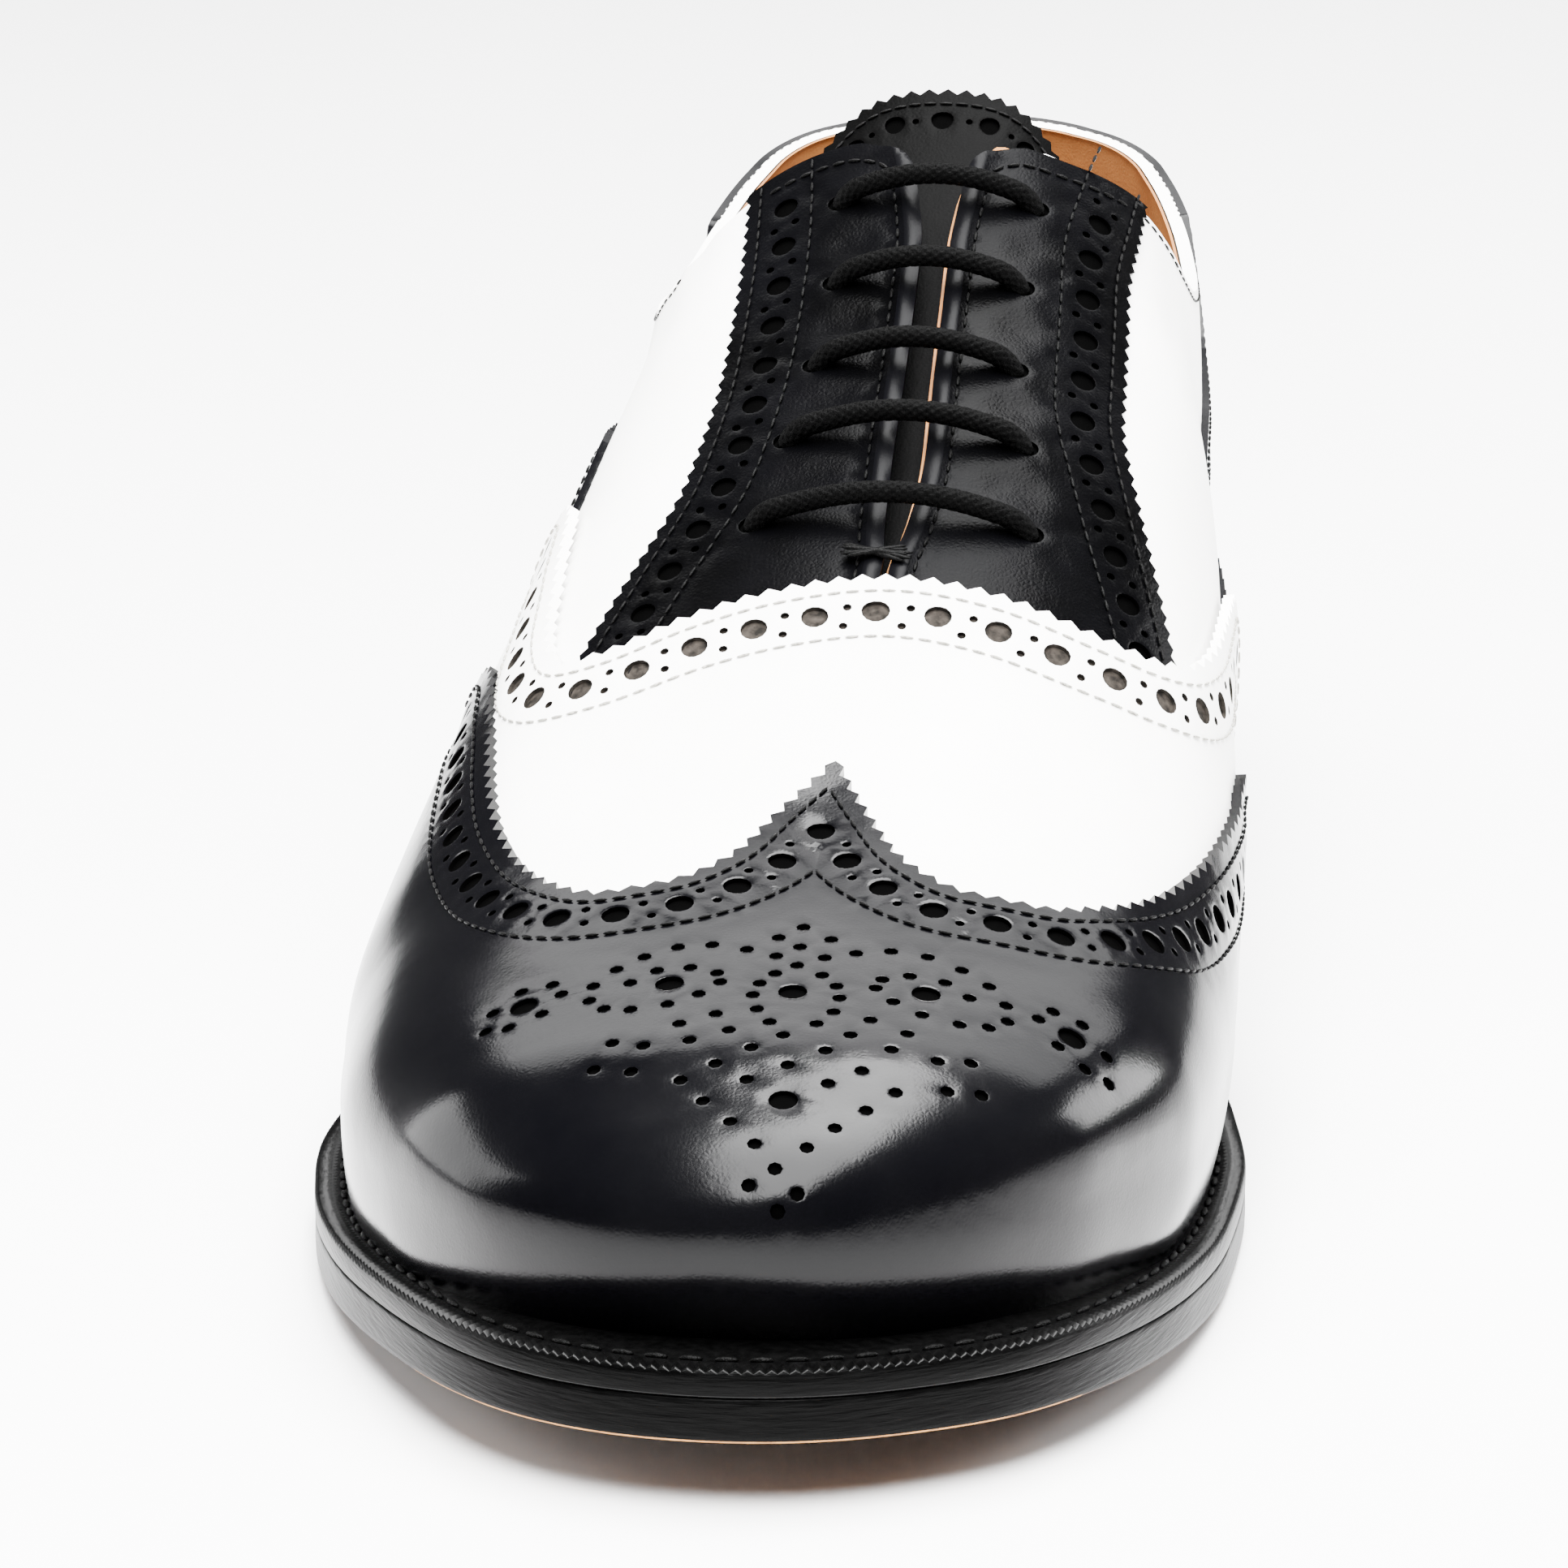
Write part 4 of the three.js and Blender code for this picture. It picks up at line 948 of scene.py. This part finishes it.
# The bar of thread laid across the foot of the slit, gathered in its middle
tack = charted(TOE, [(0.6045, -1.2)])
up = Vector(outward(TOE, tack)[0])
sides = skin(TOE, charted(TOE, [(0.6045, -2.0), (0.6045, 6.0)]))
across = Vector(sides[1] - sides[0]).normalized()
ahead = up.cross(across)
for k, (lean, long) in enumerate(((-19, 3.8), (-12, 4.3), (-5, 4.0), (3, 4.4), (10, 4.0), (18, 3.6))):
    way = across * math.cos(math.radians(lean)) + ahead * math.sin(math.radians(lean))
    at = Vector(lasted(TOE, tack, np.array([1.95 + 0.12 * (k % 3)]))[0]) + across * 0.3 * (k % 2)
    spindle(thread, at, (way, up.cross(way), up), (long, 0.40, 0.40), around=8, rings=10)

# Quarters, counter and lining
collar_o, collar_i = collar_line(HEEL, -1), collar_line(HEEL, 1)


def mouth(outer_extra, inner_extra, corner):
    """The collar's opening with the lace slit."""
    slit_o = slit_line(HEEL, -1, end=0.62, extra=outer_extra)
    slit_i = slit_line(HEEL, 1, end=0.62, extra=inner_extra)
    inner = even(HEEL, round_corner(collar_i, slit_i, HEEL, corner), 1.5)
    outer = even(HEEL, round_corner(collar_o, slit_o, HEEL, corner), 1.5)
    return np.vstack([inner, outer[::-1][:-1]])


def slit_stay(plane, q):
    """The lining comes up to the facings beside the slit."""
    edges = np.vstack([slit_line(HEEL, side, end=0.62) for side in (-1, 1)])
    return 1.8 * (1 - smooth((nearest(skin(plane, q), skin(HEEL, edges)) - 2.2) / 2.6))


def quarter_outline(front, low):
    """Round the heel below the welt line and across the vamp."""
    line_o = chart(HEEL, np.linspace(front, 0.012, 200), np.full(200, -low))
    line_i = chart(HEEL, np.linspace(0.012, front, 200), np.full(200, low))
    over = chart(HEEL, np.full(80, front), np.linspace(low, -low, 80))
    round_heel = np.concatenate([np.linspace(-low, -np.pi, 20), np.linspace(np.pi, low, 20)])
    turn = chart(HEEL, np.full(40, 0.012), round_heel)
    return [line_o, turn, line_i, over]


quarter_level = level(HEEL, 0.0)
parts = [even(HEEL, part, 2.4) for part in quarter_outline(0.66, 1.80)]
bm = leather(HEEL, parts, quarter_level, opening=mouth(4.5, 4.5, 7.0), gap=3.0, thick=1.6, roll=0.3)
piece("quarters_calf", bm, WHITE_CALF, HOLE_WHITE, slot="white_calf", stands_for=("upper",))
for line, side in ((collar_o, -1), (collar_i, 1)):
    seen = from_to(HEEL, line, 0.02, 0.372)
    sew(thread, HEEL, beside(HEEL, seen, side * 1.3), quarter_level, thick=0.36)

parts = [even(HEEL, part, 2.6) for part in quarter_outline(0.80, 2.1)]
lining_level = level(HEEL, -WALL, also=slit_stay)
bm = leather(HEEL, parts, lining_level, opening=mouth(0.35, -0.5, 11.0), gap=2.8, thick=0.3, roll=0.0)
bmesh.ops.reverse_faces(bm, faces=bm.faces[:])
piece("quarter_lining", bm, LINING, slot="insole_leather")

counter_o, counter_i = drawn(HEEL, COUNTER_OUTER), drawn(HEEL, COUNTER_INNER)
low_o, low_i = lower_edge(HEEL, -1, 0.56, 0.0), lower_edge(HEEL, 1, 0.56, 0.0)
front_share = 0.492


def front_cut(a, b):
    """Across the counter's front end, under the vamp, at an even distance from the heel."""
    (far_a, bearing_a), (far_b, bearing_b) = polar(HEEL, a), polar(HEEL, b)
    far, bearing = np.linspace(far_a, far_b, 60), np.linspace(bearing_a, bearing_b, 60)
    return even(HEEL, from_tip(far, bearing), 1.6)


def pared(plane, q):
    """The counter is pared thin where it runs under the vamp."""
    return -0.45 * smooth((share_of(plane, q) - 0.466) / 0.018)


counter_parts = joined([
    from_to(HEEL, collar_o, 0.0, 0.16)[::-1], from_to(HEEL, collar_i, 0.0, 0.16),
    from_to(HEEL, counter_i, 0.0, front_share), from_to(HEEL, low_i, 0.0, front_share),
    from_to(HEEL, low_o, 0.0, front_share)[::-1], from_to(HEEL, counter_o, 0.0, front_share)[::-1]])
back_o, back_i, edge_i, foot_i, foot_o, edge_o = counter_parts
counter_level = level(HEEL, 1.05, also=pared)
parts = [even(HEEL, back_o, 1.6), even(HEEL, back_i, 1.6), gimped(HEEL, edge_i),
         front_cut(edge_i[-1], foot_i[0]), even(HEEL, foot_i, 1.6), even(HEEL, foot_o, 1.6),
         front_cut(foot_o[-1], edge_o[0]), gimped(HEEL, edge_o)]
holes, troughs = [], []
for line, inward in ((edge_i, 1), (edge_o, 1)):
    holes += brogue(HEEL, line, inward)
    for amount in (2.2, 9.0):
        row = beside(HEEL, line, inward * amount)
        troughs.append((row[::2], 0.12))
        sew(thread, HEEL, row, counter_level)
bm = leather(HEEL, parts, counter_level, holes, troughs, gap=2.8, thick=1.1)
piece("counter_calf", bm, BLACK_CALF, HOLE_BLACK, slot="black_calf", stands_for=("counter",))

# Tongue
tongue_line = drawn(TOE, TONGUE)


def tongue_level(q):
    return -2.9 - 2.2 * (1 - smooth((share_of(TOE, q) - 0.584) / 0.035))


# The tongue's edge is gimped over its top, between two corners
over_top = share_of(TOE, tongue_line) < 0.40
cut_a, cut_b = np.argmax(over_top), len(over_top) - 1 - np.argmax(over_top[::-1])
parts = [even(TOE, tongue_line[:cut_a + 1], 2.4), gimped(TOE, tongue_line[cut_a:cut_b + 1], 0.9, 2.5),
         even(TOE, tongue_line[cut_b:], 2.4), even(TOE, np.stack([tongue_line[-1], tongue_line[0]]), 2.4)]
arc = tongue_line[cut_a + 14:cut_b - 14]
row = beside(TOE, arc, -2.0)
holes = []
middle = beside(TOE, arc, -5.0)
for k, u in enumerate(np.linspace(0.12, 0.88, 9)):
    holes.append((middle[int(u * (len(middle) - 1))], 1.5 if k % 2 == 0 else 0.5))
sew(thread, TOE, row, tongue_level)
bm = leather(TOE, parts, tongue_level, holes, [(row[::2], 0.1)], gap=2.8, thick=1.8)
bmesh.ops.recalc_face_normals(bm, faces=bm.faces[:])
piece("tongue_calf", bm, TONGUE_CALF, HOLE_BLACK, slot="black_calf", stands_for=("tongue",))


# Laces
def rings_of(bm, rings, closed_ends=True):
    """A sleeve drawn out ring by ring."""
    key = bm.verts.layers.int.new("round")
    count = len(rings[0])
    made = bmesh.ops.create_circle(bm, segments=count, radius=1.0)["verts"]
    for k, v in enumerate(made):
        v[key] = k
        v.co = rings[0][k]
    edges = list({e for v in made for e in v.link_edges})
    first = edges
    for ring in rings[1:]:
        geom = bmesh.ops.extrude_edge_only(bm, edges=edges)["geom"]
        edges = [g for g in geom if isinstance(g, bmesh.types.BMEdge) and g.is_boundary]
        for v in {v for e in edges for v in e.verts}:
            v.co = ring[v[key]]
    if closed_ends:
        bmesh.ops.contextual_create(bm, geom=first)
        bmesh.ops.contextual_create(bm, geom=edges)
    bmesh.ops.recalc_face_normals(bm, faces=bm.faces[:])
    return bm


def lace_path(share, a, b):
    """Up through one eyelet, over the slit, and down through the other."""
    turns = np.linspace(a, b, 61)
    q = charted(TOE, np.stack([np.full(61, share), turns], -1))
    run = run_of(skin(TOE, q))
    end = np.minimum(run, run[-1] - run)
    rise = np.sqrt(1 - (1 - np.minimum(end / 3.4, 1)) ** 2)
    out = -1.7 + (1.7 + 1.05 + LACE / 2) * rise + 2.3 * np.sin(np.pi * run / run[-1]) ** 1.4
    return lasted(TOE, q, out)


def braid(points, radius, around=32, step=0.2):
    """Round braided cord: strands that cross in a diamond pattern round the middle line."""
    run = run_of(points)
    u = np.arange(0, run[-1], step)
    p = at_run(points, run, u)
    for _ in range(6):
        p[1:-1] = (p[:-2] + 2 * p[1:-1] + p[2:]) / 4
    t = np.gradient(p, axis=0)
    t /= np.linalg.norm(t, axis=1, keepdims=True)
    side = np.cross(t, [0, -0.55, 0.83])
    side /= np.linalg.norm(side, axis=1, keepdims=True)
    up = np.cross(side, t)
    a = np.arange(around) * 2 * np.pi / around
    rings = []
    for k in range(len(p)):
        w = u[k] * 2 * np.pi / 2.6
        strands = np.maximum(np.abs(np.sin(4 * a + w)), np.abs(np.sin(4 * a - w)))
        r = radius * (0.74 + 0.29 * strands)
        rings.append(p[k] + r[:, None] * (np.cos(a)[:, None] * side[k] + np.sin(a)[:, None] * up[k]))
    return rings


for name, share, a, b in LACE_ROWS:
    bm = rings_of(bmesh.new(), braid(lace_path(share, a, b), LACE / 2))
    piece(name + "_cotton", bm, LACE_COTTON, slot="waxed_cotton", stands_for=(name,))


# Sole
def sole_loop(count, grow=0.0):
    """Outline of the sole seen from above, in even steps, moved outwards by an amount."""
    t = np.linspace(0, np.pi, 600)
    y = SOLE_HEEL - SOLE_LENGTH * (1 - np.cos(t)) / 2
    inner = np.stack([SOLE_BALL * sole_inner(t), y], -1)
    outer = np.stack([-SOLE_BALL * sole_outer(t), y], -1)
    loop = np.vstack([inner, outer[::-1][1:]])
    run = run_of(loop)
    q = at_run(loop, run, np.arange(count) / count * run[-1])
    way = np.roll(q, -1, 0) - np.roll(q, 1, 0)
    way /= np.linalg.norm(way, axis=1, keepdims=True)
    normal = np.stack([-way[:, 1], way[:, 0]], -1)
    if (normal * q).sum() < 0:
        normal = -normal
    q = q + normal * np.asarray(grow).reshape(-1, 1)
    return q + [SHIFT, 0]


def raised(loop, z):
    return np.column_stack([loop, z(loop[:, 1]) if callable(z) else np.full(len(loop), z)])


def shrunk(loop, k):
    return loop * k + np.array([SHIFT, -20.0]) * (1 - k)


AROUND_SOLE, AROUND_WELT, WELT_STITCHES = 420, 1080, 170
rings = []
for k in (0.02, 0.15, 0.35, 0.55, 0.72, 0.86, 0.94, 0.98):
    rings.append(raised(shrunk(sole_loop(AROUND_SOLE, -1.2), k), sole_bottom))
for grow, up in ((-1.2, 0.0), (-0.55, 0.12), (-0.15, 0.45), (0.0, 1.1), (0.05, 2.6), (0.02, 4.4), (0.0, 4.95),
                 (-0.15, 5.18)):
    rings.append(raised(sole_loop(AROUND_SOLE, grow), lambda y, up=up: sole_bottom(y) + up))
rings.append(raised(sole_loop(AROUND_SOLE, -9.0), lambda y: sole_bottom(y) + SOLE_THICK))
bm = rings_of(bmesh.new(), rings)
for f in bm.faces:
    c = f.calc_center_median()
    high = c.z - float(sole_bottom(c.y))
    dyed = high > 0.3 or c.y > BREAST
    f.material_index = 1 if dyed else 2 if high > 0.02 and c.y < -128 else 0
# The underside's material is darkened with painted shade for the shadow under the shoe
piece("outsole_leather", bm, SOLE_PAINTED_SHADE, EDGE, ARRIS, slot="sole_leather", stands_for=("outsole",))


def welt_rings(count):
    """Cross sections of the welt at each place round it, with the wheel's marks along the rim."""
    marks = np.where(np.arange(count) % 2, 1.0, 0.0)
    rows = []
    for grow, up, mark in ((-14.0, 0.06, 0), (-0.15, 0.06, 0), (0.02, 0.3, 0), (0.06, 1.4, 0), (0.06, 2.5, 0),
                           (-0.1, 3.15, 0.4), (-0.45, 3.42, 0.55), (-1.2, 3.5, 0.55), (-2.0, 3.45, 0.4),
                           (-2.6, 3.3, 0), (-3.2, 3.1, 0), (-3.9, 3.2, 0), (-5.0, 3.4, 0), (-14.0, 3.3, 0)):
        loop = sole_loop(count, grow)
        low = SOLE_THICK + up
        rows.append(np.column_stack([loop, sole_bottom(loop[:, 1]) + low - mark * (1 - marks)]))
    return rows


def band(rows, keep):
    """Closed band round the sole, cut to the part in front of or behind the breast."""
    bm = rings_of(bmesh.new(), rows, closed_ends=False)
    bmesh.ops.bridge_loops(bm, edges=[e for e in bm.edges if e.is_boundary])
    everything = bm.verts[:] + bm.edges[:] + bm.faces[:]
    made = bmesh.ops.bisect_plane(bm, geom=everything, plane_co=(0, BREAST - keep * 0.15, 0),
                                  plane_no=(0, keep, 0), clear_outer=True)
    cut_edges = [e for e in made["geom_cut"] if isinstance(e, bmesh.types.BMEdge)]
    bmesh.ops.holes_fill(bm, edges=cut_edges)
    bmesh.ops.recalc_face_normals(bm, faces=bm.faces[:])
    return bm


for name, node, keep in (("welt_leather", "welt", 1), ("rand_leather", "rand", -1)):
    bm = band(welt_rings(AROUND_WELT), keep)
    for f in bm.faces:
        f.material_index = 1 if abs(f.normal.z) < 0.35 else 0
    piece(name, bm, WELT_TOP, EDGE, slot="black_edge", stands_for=(node,), sharp=60)

# The stitches that hold the welt to the sole
row = sole_loop(WELT_STITCHES, -3.2)
for k in range(len(row)):
    a, b = row[k], row[(k + 1) % len(row)]
    c = (a + b) / 2
    if c[1] > BREAST:
        continue
    x = Vector((*(b - a), 0)).normalized()
    at = Vector((c[0], c[1], float(sole_bottom(c[1])) + SOLE_THICK + 3.35))
    spindle(thread, at, (x, Vector((-x.y, x.x, 0)), Vector((0, 0, 1))), (1.35, 0.45, 0.4))


def heel_loop(count, inset):
    """Outline of the heel: the sole's outline to the breast, and the breast's hollow line."""
    loop = sole_loop(900, -inset) - [SHIFT, 0]
    back = loop[loop[:, 1] >= BREAST]
    steps = np.linalg.norm(np.diff(back, axis=0), axis=1)
    k = np.argmax(steps)
    if steps[k] > 5:
        back = np.vstack([back[k + 1:], back[:k + 1]])
    t = np.linspace(0, 1, 40)[1:-1, None]
    front = back[-1] + (back[0] - back[-1]) * t + np.array([0, 1.0]) * 4 * BREAST_HOLLOW * t * (1 - t)
    whole = np.vstack([back, front, back[:1]])
    run = run_of(whole)
    return at_run(whole, run, np.arange(count) / count * run[-1]) + [SHIFT, 0]


def heel_layer(low, high, inset):
    rows = []
    for grow, z in ((6.0, low), (0.12, low), (0.0, low + 0.12),
                    (0.0, high - 0.12), (0.12, high), (6.0, high)):
        rows.append(raised(heel_loop(300, inset + grow), z))
    return rings_of(bmesh.new(), rows)


height = (HEEL_HEIGHT - TOP_PIECE) / LIFTS
for i in range(LIFTS):
    top = HEEL_HEIGHT - i * height
    name = f"heel_lift_{i + 1}"
    bm = heel_layer(top - height, top, LIFT_RIM + i * LIFT_INSET)
    piece(name + "_leather", bm, EDGE, slot="black_edge", stands_for=(name,))
piece("heel_top_piece_rubber", heel_layer(0.0, TOP_PIECE, LIFT_RIM + LIFTS * LIFT_INSET), RUBBER,
      slot="heel_rubber", stands_for=("heel_top_piece",))

piece("stitching_black", thread, THREAD_BLACK)
piece("stitching_white", thread_white, THREAD_WHITE)

# The sock inside the shoe keeps the solid's own shape
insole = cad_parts["insole"]
insole.data.materials.clear()
insole.data.materials.append(LINING)


# Floor, light and camera
def floor_material():
    material, tree, place, shader = finish("studio_floor_paper")
    tone = add(tree, "ShaderNodeTexNoise", {"Vector": place, "Scale": 3.0, "Detail": 2.0})
    tint = add(tree, "ShaderNodeValToRGB", {"Fac": tone.outputs["Fac"]},
               stops=[(0.3, colour("#fafafa")), (0.7, colour("#fdfdfd"))])
    tree.links.new(tint.outputs["Color"], shader.inputs["Base Color"])
    shader.inputs["Roughness"].default_value = 0.13
    return material


bm = bmesh.new()
bmesh.ops.create_grid(bm, x_segments=1, y_segments=1, size=6.0)
mesh = bpy.data.meshes.new("floor")
bm.to_mesh(mesh)
bm.free()
floor = placed("floor", mesh)
floor.data.materials.append(floor_material())


def lamp(name, shape, size, power, place, aim, tall=None):
    data = bpy.data.lights.new(name, "AREA")
    data.shape = shape
    data.size = size
    if tall:
        data.size_y = tall
    data.energy = power
    made = placed(name, data)
    made.location = place
    made.rotation_euler = (Vector(aim) - Vector(place)).to_track_quat("-Z", "Y").to_euler()
    return made


# An oval softbox right over the toe, the room's even light from above, which gives no reflection,
# a faint softbox behind, and a glow low on each side
lamp("oval_softbox", "ELLIPSE", 0.55, 105.0, (0.06, -0.20, 1.0), (0.06, -0.20, 0), 1.65)
room = lamp("room_light", "ELLIPSE", 1.6, 140.0, (0.06, -0.20, 1.3), (0.06, -0.20, 0), 1.6)
room.visible_glossy = False
lamp("rear_softbox", "RECTANGLE", 2.2, 30.0, (0.0, 1.35, 1.25), (0.0, 0.45, 0), 0.7)
lamp("outer_glow", "RECTANGLE", 0.7, 16.0, (-1.1, 0.25, 0.35), (0, -0.05, 0.04), 0.6)
lamp("inner_glow", "RECTANGLE", 0.45, 14.0, (0.95, 0.55, 0.42), (0, -0.05, 0.04), 0.4)

world = bpy.data.worlds.new("studio")
world.use_nodes = True
background = world.node_tree.nodes["Background"]
background.inputs["Color"].default_value = (1, 1, 1, 1)
background.inputs["Strength"].default_value = 0.15
bpy.context.scene.world = world

# The camera that fits the photograph: its turn, its tilt and its focal length in pixels. The frame is
# cut closer round the pixel that it is aimed at
YAW, PITCH, FOCAL, ZOOM = math.radians(2.9944), math.radians(17.0), 7752.4, 1.24
PHOTO_PIXELS, AIM_ACROSS, AIM_DOWN = 1932, 505, 922
CAMERA_PLACE, SENSOR = (0.09753, -0.90693, 0.30793), 36
right = Vector((math.cos(YAW), math.sin(YAW), 0))
forward = Vector((-math.sin(YAW) * math.cos(PITCH), math.cos(YAW) * math.cos(PITCH), -math.sin(PITCH)))
above = right.cross(forward)
aim_right = right * ((AIM_ACROSS - PHOTO_PIXELS / 2) / FOCAL)
aim_up = above * ((PHOTO_PIXELS / 2 - AIM_DOWN) / FOCAL)
view = (forward + aim_right + aim_up).normalized()
level_right = view.cross(Vector((0, 0, 1))).normalized()
tilt = Matrix((level_right, level_right.cross(view), -view)).transposed()
camera_data = bpy.data.cameras.new("camera")
camera_data.sensor_width = SENSOR
camera_data.lens = SENSOR * FOCAL * ZOOM / PHOTO_PIXELS
camera_data.clip_start, camera_data.clip_end = 0.05, 20
camera = placed("camera", camera_data)
camera.location = CAMERA_PLACE
camera.rotation_euler = tilt.to_euler()
bpy.context.scene.camera = camera
